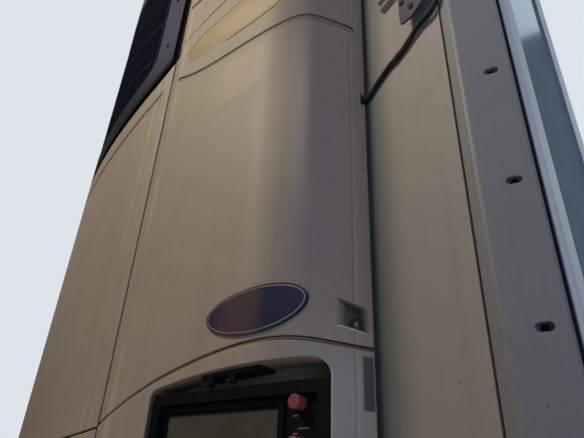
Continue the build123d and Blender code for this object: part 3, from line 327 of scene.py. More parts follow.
def housing_wear_and_shade(made, colour, grime_and_shade):
    """Brown painted shade in grooves and seam and dark painted shade in insides, a front darkened
    by painted shade, painted highlights on rolled edges, painted light and shade on the flange,
    and a paler patch.
    """
    x, height, sunk = made.axis(0), made.axis(2), sunk_depth(made)
    across, turned_up = abs(x), made.facing(2)
    # A lighter copy of the housing's colour, for painted highlights
    pale = shaded(colour, 1.3)

    # Painted shade: the middle of the front darker, most of all below 1.1 m
    shaded_front = across.fall(0.2, 0.52) * (0.38 - 0.42 * height.rise(1.1, 1.7))
    layers = [(shaded_front, shaded(colour, 0.72))]
    # Painted highlights: pale streaks beside the upright seam, broken into patches
    highlight_patches = made.noise(3.2, 3, 0.6).rise(0.4, 0.62)
    for place, reach, strength in ROLLED_HIGHLIGHTS:
        layers.append((abs(across - place).fall(0, reach) * highlight_patches * strength, pale))
    # Painted highlight along every edge
    layers.append((made.edge_turn(0.01).rise(0.01, 0.3) * 0.16, pale))

    # Painted shade in the styling grooves, in brown, and painted light on their downward-facing
    # upper walls, where shade falls
    groove = sunk.between(0.0005, 0.0015, 0.0045, 0.0065)
    lit_groove_roof = groove * (turned_up * -1).rise(0.2, 0.6) * height.rise(1.12, 1.16)
    # Painted shade in brown inside the upright seam
    seam = sunk.rise(0.0003, 0.001) * abs(across - SEAM_X).fall(0.003, 0.006)
    layers += [
        (groove * 0.9, srgb(146, 124, 98)),
        (lit_groove_roof, srgb(240, 210, 176)),
        (seam * 0.9, srgb(112, 70, 32)),
        # Painted shade in deep hollows
        (sunk.rise(0.006, 0.02) * 0.25, srgb(*grime_and_shade)),
    ]

    # Latch pocket: painted shade deep inside it, and a painted highlight on its upward-facing lip
    pocket = across.rise(0.985, 0.99) * height.between(1.046, 1.05, 1.12, 1.125)
    lip = turned_up.rise(0.3, 0.7)
    layers += [
        (pocket * sunk.rise(0.0018, 0.01) * (1 - lip) * 0.92, srgb(60, 51, 41)),
        (pocket * sunk.rise(0.0003, 0.001) * lip, srgb(226, 214, 200)),
    ]

    # A paler patch on the door
    paler_patch = x.between(0.7, 0.78, 0.8645, 0.867)
    paler_patch = paler_patch * height.between(1.615, 1.617, 1.7345, 1.7365)
    # Painted shade on the side walls of the control recess
    recess_side_shade = sunk.rise(0.0008, 0.003) * abs(made.facing(0)).rise(0.5, 0.8)
    recess_side_shade = recess_side_shade * across.between(0.665, 0.672, 0.71, 0.73) * height.fall(1.03, 1.04)
    # Painted light on the flange below about 1 m, and cooler painted shade on it above about 1.2 m
    flange = across.rise(0.95, 1.0)
    return layers + [
        (paler_patch * 0.35, shaded(colour, 1.18)),
        (recess_side_shade * 0.75, srgb(70, 46, 26)),
        (flange * height.fall(0.98, 1.1) * 0.45, srgb(194, 188, 172)),
        (flange * height.rise(1.05, 1.2) * 0.2, srgb(112, 112, 122)),
    ]


def sunk_depth(made):
    """How far a place of the housing lies under its outer surface."""
    across, depth = abs(made.axis(0)), made.axis(1)
    blend = 0.0004
    flat = (across - SIDE) * sin(YAW) - (depth - CORNER_Y) * cos(YAW)
    corner_x, corner_y = across - (SIDE - ROUND), depth - ROUND_Y
    corner = (corner_x * corner_x + corner_y * corner_y).root() - ROUND
    bend_x, bend_y = (across - BEND_X).most(0), depth - (FRONT_Y + BEND)
    front = (bend_x * bend_x + bend_y * bend_y).root() - BEND
    side = across.rise(ROUND_START, ROUND_START + blend)
    middle = across.fall(BEND_END, BEND_END + blend)
    return (flat * (1 - side) * (1 - middle) + corner * side + front * middle) * -1


def panel_swell(made):
    """Soft forms of the housing, as a height in metres, below zero where they fall away."""
    across = abs(made.axis(0))
    turning = SWELL_END - SWELL_START
    past = (across - SWELL_START).most(0)
    early = past.least(turning)
    corner = early * early * (SWELL_SLOPE / 2 / turning) + (past - early) * SWELL_SLOPE
    near = (ROLL_REACH - abs(across - SEAM_X)).most(0)
    roll = near * near * (ROLL_SLOPE / 2 / ROLL_REACH)
    crease = abs(made.axis(1) - CREASE_Y).fall(0, 0.005) * across.rise(1.0, 1.01)
    crease = crease * sunk_depth(made).fall(0.0005, 0.002)
    return (corner + roll + crease * 0.0012) * -1


def plastic(name, colour, worn, roughness=0.5, grain=420, edge=0.001, shine=0.5):
    """Moulded plastic with a fine grain, faint dust and scuffs."""
    made = Finish(name, IOR=1.46, Specular_IOR_Level=shine)
    dust = made.noise(9, 5, 0.65)
    scuffs = made.noise(60, 4, 0.7, (1, 1, 0.2))
    shade = made.layered(
        srgb(*colour),
        (dust.rise(0.45, 0.8) * 0.22, srgb(*worn)),
        (scuffs.rise(0.62, 0.72) * 0.18, srgb(*worn)),
    )
    made.feed(Base_Color=shade, Roughness=roughness + dust * 0.2)
    made.relief(made.noise(grain, 2), 0.0004, 0.35, edge)
    return made


def steel(name, colour, rust, metallic, roughness, spread=0.62):
    """Plated or painted steel with rust that breaks through in spots and in the corners."""
    made = Finish(name, IOR=1.5)
    clouds = made.noise(7, 5, 0.6)
    bite = made.noise(38, 6, 0.7)
    corners = made.crevice(0.02).rise(0.4, 1)
    eaten = (bite + corners * 0.15).rise(spread, spread + 0.08)
    shade = made.layered(
        srgb(*colour),
        (clouds * 0.4, shaded(colour, 0.8)),
        (eaten, srgb(*rust)),
    )
    made.feed(
        Base_Color=shade,
        Metallic=metallic * (1 - eaten),
        Roughness=roughness + eaten * 0.4 + clouds * 0.12,
    )
    made.relief(bite * 0.6 + eaten, 0.0005, 0.4, 0.0012)
    return made


def brushed(name, colour, roughness, metallic, along=(1, 1, 1)):
    """Drawn or brushed metal with fine lines, fingerprints and water marks."""
    made = Finish(name, IOR=1.5)
    lines = made.noise(700, 2, 0.6, along)
    marks = made.noise(5, 5, 0.6)
    shade = made.layered(
        srgb(*colour),
        (marks.rise(0.35, 0.7) * 0.35, shaded(colour, 0.84)),
        (lines.rise(0.4, 0.7) * 0.12, srgb(205, 212, 220)),
    )
    made.feed(
        Base_Color=shade,
        Metallic=metallic - marks * 0.25,
        Roughness=roughness + marks * 0.16,
    )
    made.relief(lines, 0.0002, 0.3, 0.0012)
    return made


def corner_extrusion():
    """Satin nose and bead, and between them a glossy, rippled strip that mirrors the sky; painted
    shade ahead of the nose and along the strip's front edge.
    """
    made = Finish("corner_extrusion", IOR=1.65, Coat_Roughness=0.04)
    depth, soft = made.axis(1), 0.0005
    polished = depth.between(
        STRIP_FRONT - soft, STRIP_FRONT + soft, STRIP_BACK - soft, STRIP_BACK + soft
    )
    lines = made.noise(620, 2, 0.6, (1, 1, 0.01))
    marks = made.noise(6, 5, 0.65)
    streaks = made.noise(1, 4, 0.6, (30, 30, 1.4))
    ripples = made.noise(110, 3, 0.6)
    satin = made.layered(
        srgb(192, 200, 198),
        (marks.rise(0.35, 0.75) * 0.4, srgb(166, 174, 174)),
        (streaks.rise(0.55, 0.8) * 0.3, srgb(124, 124, 120)),
        # Painted shade: near black on the part ahead of the nose's front, in the groove by the
        # moulding
        (depth.fall(NOSE_FRONT - soft, NOSE_FRONT + soft), srgb(34, 36, 40)),
    )
    gloss = made.layered(
        srgb(130, 144, 152),
        (marks.rise(0.4, 0.7) * 0.4, srgb(110, 124, 134)),
        # Painted shadow along the strip's front edge, behind the nose
        (depth.fall(STRIP_FRONT + soft, STRIP_FRONT + 5 * soft), srgb(60, 66, 70)),
    )
    made.feed(
        Base_Color=made.mix(polished, satin, gloss),
        Metallic=0.1 + polished * 0.1,
        Roughness=0.46 - polished * 0.4 + marks * 0.08,
        Coat_Weight=polished * 0.3,
    )
    pressed = lines * (1 - polished) + ripples * polished * 0.35 + marks
    made.relief(pressed, 0.0002, 0.4, 0.0012)
    return made


def trim_plastic():
    """Grey surround, with painted shade that makes it nearly black at its foot, and a black band
    of painted shadow along its outer edge.
    """
    made = Finish("trim_plastic", IOR=1.46, Specular_IOR_Level=0.12)
    x, z = made.axis(0), made.axis(2)
    above = z - (TRIM_LOW + TRIM_SWEEP)
    at_foot = (x * x + above * above).root() - (TRIM_SWEEP - TRIM_FOOT)
    at_side, at_top = abs(x) - (TRIM_HALF - TRIM_BAND), z - (TRIM_TOP - TRIM_BAND)
    edge_shadow_band = at_side.most(at_foot).most(at_top).rise(-0.0006, 0.0006)
    dust = made.noise(8, 5, 0.65)
    shade = made.layered(
        srgb(66, 67, 92),
        (dust.rise(0.4, 0.8) * 0.3, srgb(76, 76, 94)),
        # Painted shade: nearly black towards the foot, then the painted shadow band along the
        # outer edge
        (z.fall(1.76, 2.04), srgb(7, 7, 11)),
        (edge_shadow_band, srgb(14, 15, 19)),
    )
    made.feed(Base_Color=shade, Roughness=0.5 + dust * 0.16 + edge_shadow_band * 0.2)
    made.relief(made.noise(380, 2), 0.0006, 0.5, 0.0018)
    return made


def coil_fins():
    """Stack of thin fins seen edge on, with painted shade between them and dirt caught between
    some of them.
    """
    made = Finish("coil_fins", IOR=1.5)
    colour, pitch = (150, 154, 158), 0.0042
    ridge = (made.axis(0) * (2 * pi / pitch)).wave() * 0.5 + 0.5
    clogged = made.noise(7, 5, 0.6).rise(0.45, 0.7)
    shade = made.layered(
        # Painted shade in the gaps between the fins, the fins' colour at a quarter of its
        # brightness
        shaded(colour, 0.25),
        (ridge.rise(0.1, 0.7), srgb(*colour)),
        (clogged * 0.5, srgb(84, 76, 62)),
    )
    made.feed(Base_Color=shade, Metallic=0.7 - 0.5 * clogged, Roughness=0.42 + clogged * 0.3)
    made.relief(ridge, pitch * 0.6, 0.7)
    return made


def display_window():
    """Grey display behind a clear cover, with faint smears and dust."""
    made = Finish("display_window", IOR=1.5, Coat_Roughness=0.06)
    smears = made.noise(14, 4, 0.6, (1, 1, 2.5))
    dust = made.noise(160, 3, 0.6).rise(0.58, 0.7)
    shade = made.layered(
        srgb(66, 61, 44),
        (smears.rise(0.35, 0.75) * 0.5, srgb(86, 79, 56)),
        (dust * 0.08, srgb(130, 124, 110)),
    )
    made.feed(Base_Color=shade, Roughness=0.3 + smears * 0.2, Coat_Weight=0.8 - dust * 0.3)
    made.relief(smears, 0.0002, 0.2)
    return made


def badge_face():
    """Blank badge face in navy, with a painted reflection in maroon across its middle, and
    hairline scratches.
    """
    made = Finish("badge_face", IOR=1.5, Coat_Roughness=0.15)
    flake = made.noise(900, 1)
    scratches = made.noise(120, 3, 0.7, (1, 1, 14)).rise(0.66, 0.74)
    across = abs(made.axis(0))
    # Painted reflection: a maroon band across the middle of the badge
    reflection_band = made.mix(across.rise(0.896, 0.932), srgb(88, 64, 66), srgb(24, 26, 66))
    shade = made.layered(
        srgb(34, 36, 62),
        (across.rise(0.80, 0.86), reflection_band),
        (flake.rise(0.55, 0.8) * 0.2, srgb(86, 88, 110)),
        (scratches * 0.3, srgb(120, 122, 134)),
    )
    made.feed(
        Base_Color=shade,
        Roughness=0.32 + scratches * 0.3,
        Coat_Weight=0.4 - scratches * 0.3,
        Metallic=0.1 + flake * 0.2,
    )
    return made


def aged_film(made, shade, roughness):
    """Finishes a sticker film of that shade with dirt that clings to it."""
    dirt = made.noise(45, 5, 0.7)
    shade = made.mix(dirt.rise(0.6, 0.75) * 0.25, shade, srgb(110, 98, 78))
    made.feed(Base_Color=shade, Roughness=roughness + dirt * 0.2)
    made.relief(dirt, 0.0002, 0.3)
    return made


def decal_film():
    """Blank film, peach at its front and along its top, yellower below."""
    made = Finish("decal_film", IOR=1.48)
    shade = made.layered(
        srgb(178, 154, 112),
        (made.axis(0).rise(0.62, 0.78), srgb(174, 154, 104)),
        (made.axis(2).rise(1.86, 1.93), srgb(190, 164, 118)),
    )
    return aged_film(made, shade, 0.42)


def printed_film(name, colour, faded, roughness=0.42):
    """Sticker film, sun-faded in patches."""
    made = Finish(name, IOR=1.48)
    fade = made.noise(9, 4, 0.6).rise(0.35, 0.7)
    return aged_film(made, made.mix(fade, srgb(*colour), srgb(*faded)), roughness)


HOUSING = gel_coat(
    "housing_gel_coat", (168, 150, 127), (96, 82, 66), 0.5, housing_wear_and_shade, 0.005, swell=panel_swell
)
WALL_SKIN = gel_coat(
    "wall_skin", (177, 168, 158), (84, 78, 66), 0.46, shadowed_wall, reach=0.08, specked=0.36
)
MOULDING = gel_coat(
    "corner_moulding", (143, 142, 142), (66, 64, 64), 0.44, painted_shade_below, 0.003, specked=0.3
)
ENAMEL = gel_coat("evaporator_enamel", (206, 208, 206), (150, 148, 142), 0.4, painted_shade_below)
EXTRUSION = corner_extrusion()
RAIL = brushed("rail_aluminium", (150, 154, 158), 0.42, 0.7, (0.01, 1, 1))
TRIM = trim_plastic()
GRILLE = plastic("grille_plastic", (10, 13, 34), (20, 21, 38), 0.7, shine=0.08)
CONTROL = plastic("control_plastic", (6, 8, 11), (30, 31, 31), 0.4, shine=0.15)
DISPLAY = display_window()
BUTTON = plastic("button_plastic", (134, 58, 58), (160, 98, 96), 0.36, 600, 0.0005)
KEEPER = steel("keeper_steel", (44, 44, 46), (74, 52, 40), 0.6, 0.45)
BADGE = badge_face()
FRAME = steel("frame_steel", (88, 90, 94), (98, 62, 38), 0.5, 0.5)
FAN = plastic("fan_plastic", (28, 29, 32), (84, 80, 74))
MOTOR = plastic("motor_casting", (70, 74, 80), (104, 98, 88), grain=260)
COIL = coil_fins()
ENGINE = steel("engine_iron", (52, 62, 74), (92, 66, 46), 0.25, 0.5, 0.66)
BATTERY = plastic("battery_case", (30, 31, 34), (96, 94, 90))
RUBBER = plastic("cable_rubber", (22, 22, 24), (66, 62, 56), 0.48, 700, 0)
BRACKET = plastic("bracket_plastic", (70, 70, 80), (116, 112, 106))
TAPE = plastic("tape", (20, 20, 22), (58, 56, 54), 0.26, 300, 0)
CHROME = brushed("chrome", (92, 90, 84), 0.24, 1)
ZINC = brushed("zinc", (150, 150, 148), 0.34, 0.9)
PALE_METAL = brushed("pale_rim", (150, 148, 156), 0.4, 0.5)
DECAL = decal_film()
LABEL = printed_film("grey_label", (104, 100, 95), (94, 90, 87), 0.5)
LABEL_PRINT = printed_film("label_print", (78, 75, 74), (70, 68, 68), 0.5)
BROWN_LINE = printed_film("brown_line", (116, 84, 52), (104, 78, 52))
INK = printed_film("pale_marks", (150, 148, 146), (120, 118, 116))
RIB = plastic("rib_moulding", (164, 152, 132), (120, 106, 84), edge=0.002)
# Painted shade: brown colour of the strips set in the arched seams
SEAM_SHADE_STRIP = plastic("seam_shade_strip", (116, 100, 80), (96, 84, 68), 0.75, 300, 0)
# Painted highlight: a pale copy of the housing's colour for the pocket's lip, which catches the
# light
LIP_HIGHLIGHT = plastic("lip_highlight", (222, 210, 190), (190, 176, 152))

FINISHES = (
    (HOUSING, "base_pan lower_corner_left lower_corner_right door_left door_right"),
    (HOUSING, "top_corner_left top_corner_right top_cover front_panel lower_front"),
    (WALL_SKIN, "wall_panel"),
    (MOULDING, "corner_cap_left corner_cap_right"),
    (EXTRUSION, "corner_post_left corner_post_right"),
    (RAIL, "bottom_rail top_rail"),
    (TRIM, "grille_trim"),
    (GRILLE, "grille"),
    (CONTROL, "control_panel"),
    (DISPLAY, "display"),
    (BUTTON, "buttons"),
    (KEEPER, "latch_keeper"),
    (BADGE, "badge_plate"),
    (FRAME, "frame_uprights cross_tubes inner_frame panel_bars top_bar fan_shroud"),
    (FAN, "condenser_fan_left condenser_fan_right evaporator_fan_left evaporator_fan_right"),
    (MOTOR, "condenser_motors evaporator_motors compressor"),
    (COIL, "condenser_coil evaporator_coil"),
    (ENGINE, "engine"),
    (BATTERY, "battery"),
    (ENAMEL, "evaporator_housing evaporator_cover"),
    (RUBBER, "cable"),
    (BRACKET, "cable_bracket"),
)
for finish, names in FINISHES:
    for name in names.split():
        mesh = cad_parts[name].data
        mesh.materials.clear()
        mesh.materials.append(finish.material)


# Places on the part

def placed(origin, out):
    """Frame at a point: Z along out, Y upwards."""
    z = Vector(out).normalized()
    x = Vector((0, 0, 1)).cross(z).normalized()
    turn = Matrix((x, z.cross(x), z)).transposed().to_4x4()
    return Matrix.Translation(origin) @ turn


def outward(yaw):
    """Level direction out of a face that is turned that far from the front."""
    return Vector((sin(yaw), -cos(yaw), 0))


def face_point(along, z):
    """Point on the slanted face of the left side, along metres from its corner."""
    return Vector((SIDE - along * cos(YAW), CORNER_Y - along * sin(YAW), z))


def on_face(along, z, out=0.0):
    """Frame out metres off the slanted face of the left side."""
    return placed(face_point(along, z) + out * outward(YAW), outward(YAW))


def on_controls(along, z):
    """Frame on the floor of the control panel's dish."""
    near = Vector((cos(RECESS_YAW), sin(RECESS_YAW), 0)) * (RECESS_FAR - along)
    spot = face_point(RECESS_FAR, z) + near
    return placed(spot + CONTROL_FLOOR * outward(RECESS_YAW), outward(RECESS_YAW))


def front_surface(x):
    """Depth of the housing's front at x, and about the angle its face is turned there."""
    past = max(0, x - BEND_X)
    if past < BEND * sin(YAW):
        return FRONT_Y + BEND - sqrt(BEND**2 - past**2), past / BEND
    return CORNER_Y - (SIDE - x) * tan(YAW), YAW


def arch_height(x):
    """Height of the arched seam at x, on the smooth curve through its five places."""
    height = 0
    for here, z in ARCH:
        share = z
        for there, _ in ARCH:
            if there != here:
                share *= (x - there) / (here - there)
        height += share
    return height


# Shapes and pieces

def turned(mesh, profile, place, segments):
    """Adds a solid of revolution from pairs of radius and height."""
    rings = []
    for radius, height in profile:
        turns = [2 * pi * i / segments for i in range(segments if radius else 1)]
        points = [(radius * cos(turn), radius * sin(turn), height) for turn in turns]
        rings.append([mesh.verts.new(place @ Vector(point)) for point in points])
    for low, high in zip(rings, rings[1:]):
        for i in range(segments):
            j = (i + 1) % segments
            ring = [low[i % len(low)], low[j % len(low)], high[j % len(high)], high[i % len(high)]]
            corners = list(dict.fromkeys(ring))
            if len(corners) > 2:
                mesh.faces.new(corners)


def drawn_in(outline, distance):
    """The outline moved inwards, for outlines drawn anticlockwise."""
    sharpest = 0.3
    moved = []
    earlier, later = outline[-1:] + outline[:-1], outline[1:] + outline[:1]
    for before, here, after in zip(earlier, outline, later):
        first = (Vector(here) - Vector(before)).normalized()
        second = (Vector(after) - Vector(here)).normalized()
        inward = Vector((-first.y - second.y, first.x + second.x))
        moved.append(Vector(here) + inward * (distance / max(sharpest, 1 + first.dot(second))))
    return [tuple(point) for point in moved]


def walled(mesh, levels, place, closed=False):
    """Adds walls between outlines at their heights, and returns the corners of each outline."""
    rings = []
    for points, z in levels:
        rings.append([mesh.verts.new(place @ Vector((x, y, z))) for x, y in points])
    for lower, upper in zip(rings, rings[1:] + (rings[:1] if closed else [])):
        for i in range(len(lower)):
            j = (i + 1) % len(lower)
            mesh.faces.new((lower[i], lower[j], upper[j], upper[i]))
    return rings


def slab(mesh, outline, low, high, place, rim):
    """Adds a plate of that outline whose top edge is rounded by rim."""
    levels = [(outline, low), (outline, high - rim)]
    levels += [(drawn_in(outline, rim * 0.3), high - rim * 0.3), (drawn_in(outline, rim), high)]
    rings = walled(mesh, levels, place)
    mesh.faces.new(rings[-1])
    mesh.faces.new(rings[0][::-1])


def raised_rim(mesh, outline, width, low, high, place):
    """Adds a rim of that width inside an outline."""
    inner = drawn_in(outline, width)
    walled(mesh, [(outline, low), (outline, high), (inner, high), (inner, low)], place, True)


def rounded(width, height, radius, steps=6):
    """Rectangle with round corners, anticlockwise about the origin."""
    points = []
    for quarter, (sx, sy) in enumerate(((1, 1), (-1, 1), (-1, -1), (1, -1))):
        for step in range(steps + 1):
            turn = pi / 2 * (quarter + step / steps)
            x = sx * (width / 2 - radius) + radius * cos(turn)
            y = sy * (height / 2 - radius) + radius * sin(turn)
            points.append((x, y))
    return points


def oval(width, height, steps=64):
    """Ellipse about the origin, anticlockwise."""
    turns = [2 * pi * step / steps for step in range(steps)]
    return [(width / 2 * cos(turn), height / 2 * sin(turn)) for turn in turns]


def carried(name, data, finish, body):
    """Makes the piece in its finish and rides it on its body."""
    data.materials.append(finish.material)
    piece = bpy.data.objects.new(name, data)
    bpy.context.scene.collection.objects.link(piece)
    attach(piece, body)


def fitted(name, mesh, finish, body="front_wall"):
    """Makes a piece of the finished mesh, smooth but for its sharp edges."""
    sharp = radians(35)
    bmesh.ops.recalc_face_normals(mesh, faces=mesh.faces)
    data = bpy.data.meshes.new(name)
    mesh.to_mesh(data)
    mesh.free()
    data.shade_smooth()
    data.set_sharp_from_angle(angle=sharp)
    carried(name, data, finish, body)


def fasteners(name, profile, places, finish, segments=14):
    """Makes one piece of many heads that share a profile."""
    mesh = bmesh.new()
    for place in places:
        turned(mesh, profile, place, segments)
    fitted(name, mesh, finish)


def strands(name, routes, radius, finish, body="front_wall", closed=False):
    """Round wires along their points, as one curve."""
    curve = bpy.data.curves.new(name, "CURVE")
    curve.dimensions = "3D"
    curve.bevel_depth = radius
    curve.bevel_resolution = 2
    curve.resolution_u = 6
    curve.use_fill_caps = not closed
    for route in routes:
        spline = curve.splines.new("NURBS")
        spline.points.add(len(route) - 1)
        for point, place in zip(spline.points, route):
            point.co = (*place, 1)
        spline.use_cyclic_u = closed
        spline.order_u = 3
        spline.use_endpoint_u = not closed
    carried(name, curve, finish, body)


# Small pieces that the solids leave out

RIVET = ((0.0065, 0), (0.0063, 0.0012), (0.005, 0.0024), (0.0028, 0.0031), (0, 0.0033))
SUNK_RIVET = ((0.0046, 0), (0.0045, 0.001), (0.003, 0.0022), (0, 0.0027))
SCREW = (
    (0.0052, 0), (0.0052, 0.0016), (0.0044, 0.0026),
    (0.0016, 0.0029), (0.0012, 0.0012), (0, 0.0012),
)
WASHER = ((0.011, 0), (0.011, 0.0016), (0.0104, 0.0022), (0.0066, 0.0022), (0.0066, 0))
DOME = (
    (0.0098, 0.0), (0.0106, 0.0035), (0.0098, 0.0068), (0.0074, 0.0094),
    (0.0046, 0.0109), (0.003, 0.0112), (0.0024, 0.0094), (0, 0.0094),
)
COLLAR = (
    (0.0124, -0.0004), (0.0124, 0.0012), (0.0116, 0.002),
    (0.0104, 0.002), (0.0104, -0.0004),
)


def latch_bolt():
    """Chrome bolt head and washer in the moulded pocket of the door."""
    spot, out = (1.0113, -0.1707, 1.0722), (50, 12, 0)
    mesh = bmesh.new()
    for profile in (WASHER, DOME):
        turned(mesh, profile, placed(spot, out), 32)
    fitted("latch_bolt", mesh, CHROME, "door_left")


def pocket_lip():
    """Rolled lower lip of the latch pocket, climbing along the housing's round corner, pale as a
    painted highlight.
    """
    start_y, start_z, pitch, climb, proud = -0.162, 1.0602, 0.006, 0.145, 0.0002
    route = []
    for step in range(8):
        y, z = start_y - pitch * step, start_z + pitch * step * climb
        x = SIDE - ROUND + sqrt(ROUND**2 - min(0, y - ROUND_Y) ** 2)
        route.append((x + proud, y, z))
    strands("pocket_lip", [route], 0.0011, LIP_HIGHLIGHT, "door_left")


def badge_rim():
    """Pale oval line near the edge of the blank badge plate."""
    width, height, line, sunk, proud = 0.2055, 0.0695, 0.0014, -0.0012, 0.0006
    mesh = bmesh.new()
    raised_rim(mesh, oval(width, height), line, sunk, proud, on_face(0.135, 1.107, 0.0043))
    fitted("badge_rim", mesh, PALE_METAL, "door_left")


def arch_seam_strips():
    """Brown strips in the arched seams, on the lower corners' upper edges, that paint the seams'
    shade.
    """
    start_x, length, end_y, face_steps, round_steps = 0.568, 0.4, -0.146, 16, 6
    reach = ROUND - SEAM_STRIP_DEPTH
    route = []
    for step in range(face_steps + 1):
        x = start_x + length * step / face_steps
        top = face_point((SIDE - x) / cos(YAW), arch_height(x) - SEAM_STRIP_DROP)
        route.append(top - SEAM_STRIP_DEPTH * outward(YAW))
    for step in range(round_steps + 1):
        turn = (YAW - pi / 2) * (1 - step / round_steps)
        z = arch_height(SIDE - ROUND + ROUND * cos(turn)) - SEAM_STRIP_DROP
        route.append(Vector((SIDE - ROUND + reach * cos(turn), ROUND_Y + reach * sin(turn), z)))
    route.append(Vector((SIDE - SEAM_STRIP_DEPTH, end_y, route[-1].z)))
    mirrored = [Vector((-x, y, z)) for x, y, z in route]
    strands("arch_seam_strips", [route, mirrored], 0.0022, SEAM_SHADE_STRIP)


def flange_label():
    """Blank grey label on the lower corner's side flange, with fine printed lines."""
    place = placed((SIDE + 0.0002, -0.1592, 0.9925), (1, 0, 0))
    width, height, face = 0.0175, 0.071, 0.0003
    mesh = bmesh.new()
    slab(mesh, rounded(width, height, 0.001, 2), -0.0004, face, place, 0.0001)
    fitted("flange_label", mesh, LABEL)
    rows, first, pitch, longest, line, ink = 22, 0.032, 0.00305, 0.0125, 0.0009, 0.00012
    mesh = bmesh.new()
    for row in range(rows):
        length = longest - 0.004 * ((row * 5) % 7 == 3) - 0.002 * ((row * 3) % 4 == 1)
        spot = place @ Matrix.Translation(((length - longest) / 2, first - row * pitch, face))
        slab(mesh, rounded(length, line, 0.0003, 1), 0, ink, spot, 0)
    fitted("flange_label_lines", mesh, LABEL_PRINT)


def door_decal():
    """Blank film above the door's styling line, with a thin line along two of its edges."""
    points = (
        (0.462, 1.880), (0.455, 1.862), (0.440, 1.849), (0.36, 1.834),
        (0.277, 1.833), (0.203, 1.835), (0.13, 1.842), (0.112, 1.86),
        (0.108, 1.92), (0.13, 1.956), (0.2, 1.962), (0.269, 1.954),
        (0.336, 1.939), (0.41, 1.927), (0.449, 1.901), (0.459, 1.881),
    )
    middle = (0.28, 1.88)
    outline = [(middle[0] - along, z - middle[1]) for along, z in points]
    mesh = bmesh.new()
    slab(mesh, outline, -0.0003, 0.0003, on_face(*middle), 0.0001)
    fitted("door_decal", mesh, DECAL, "door_left")
    low = ((0.31, 1.8332), (0.277, 1.8328), (0.203, 1.8348), (0.13, 1.8418), (0.112, 1.86))
    high = points[:9:-1]
    for name, edge, finish in (
        ("decal_lower_line", low, CONTROL),
        ("decal_upper_line", high, BROWN_LINE),
    ):
        route = [face_point(along, z) + 0.0002 * outward(YAW) for along, z in edge]
        strands(name, [route], 0.0009, finish, "door_left")


def trim_screws():
    """Small recessed screws round the grille's surround."""
    spots, proud = ((0.5, 2.0), (0.5, 2.2), (0.5, 2.42), (0.3, 1.817), (0.3, 2.4925)), 0.0005
    places = []
    for x, z in spots:
        y, yaw = front_surface(x)
        for side in (1, -1):
            places.append(placed((side * x, y - proud, z), outward(side * yaw)))
    fasteners("trim_screws", SCREW, places, CONTROL)


def slot_rivets():
    """Rivet heads sunk in the slots of the corner mouldings."""
    x, y = CHAMFER_X + CHAMFER_ACROSS * SLOT_SHARE, WALL_FACE + CHAMFER_BACK * SLOT_SHARE
    sunk = 0.0068
    places = []
    for row in range(SLOTS):
        z = WALL_LOW + SLOT_FIRST + SLOT_PITCH * row
        for side in (1, -1):
            out = outward(side * CHAMFER_YAW)
            places.append(placed(Vector((side * x, y, z)) - sunk * out, out))
    fasteners("slot_rivets", SUNK_RIVET, places, CONTROL)


def rail_rivets():
    """Two rows of rivets along each rail."""
    columns, first, pitch, proud = 25, -1.2, 0.1, 0.0001
    places = []
    for z in (WALL_LOW + 0.03, WALL_LOW + 0.15, WALL_HIGH - 0.025, WALL_HIGH - 0.095):
        for column in range(columns):
            places.append(placed((first + pitch * column, WALL_FACE - proud, z), (0, -1, 0)))
    fasteners("rail_rivets", RIVET, places, ZINC, 12)


def control_marks():
    """Short printed dashes beside the push buttons, and collars round them."""
    rows = [BUTTON_TOP - BUTTON_PITCH * row for row in range(BUTTONS)]
    # Place along, drop below the button's middle, and width
    dashes = ((0.068, 0.0155, 0.008), (0.054, 0.032, 0.019), (0.067, 0.0385, 0.008))
    mesh = bmesh.new()
    for z in rows:
        for along, drop, width in dashes:
            dash = rounded(width, 0.0016, 0.0005, 1)
            slab(mesh, dash, -0.0002, 0.0002, on_controls(along, z - drop), 0)
    fitted("control_marks", mesh, INK)
    places = [on_controls(BUTTON_ALONG, z) for z in rows]
    fasteners("button_collars", COLLAR, places, CONTROL, 28)


def bracket_screws():
    """Screws of the cable's cover plate."""
    spots, plate = ((1.1655, 1.6055), (1.197, 1.612), (1.187, 1.573)), 0.0221
    places = [placed((x, WALL_FACE - plate, z), (0, -1, 0)) for x, z in spots]
    fasteners("bracket_screws", SCREW, places, KEEPER)


def wall_louvre():
    """Small moulded louvre above the cable's cover plate; its lowest rib is shorter."""
    middle, lowest, rows, pitch = 1.137, 1.6865, 7, 0.027
    width, shorter, height = 0.11, 0.012, 0.0215
    tilt = Matrix.Rotation(radians(-16), 4, "X")
    mesh = bmesh.new()
    for row in range(rows):
        spot = placed((middle, WALL_FACE, lowest + pitch * row), (0, -1, 0)) @ tilt
        rib = rounded(width - shorter * (row == 0), height, 0.004, 3)
        slab(mesh, rib, -0.004, 0.0085, spot, 0.003)
    fitted("wall_louvre", mesh, RIB)


def cable_extras():
    """Thin second wire beside the cable, and tape wrapped round both."""
    wire = (
        (1.186, -0.1465, 1.5405), (1.1728, -0.1465, 1.534), (1.1498, -0.1465, 1.5255),
        (1.128, -0.1462, 1.5215), (1.112, -0.146, 1.519),
    )
    strands("second_wire", [wire], 0.0022, RUBBER)
    wraps = (
        ((1.1, -0.1449, 1.5237), (1.107, -0.1449, 1.5244)),
        ((1.1215, -0.1449, 1.5252), (1.1275, -0.1449, 1.5255)),
    )
    strands("cable_tape", wraps, 0.0052, TAPE)


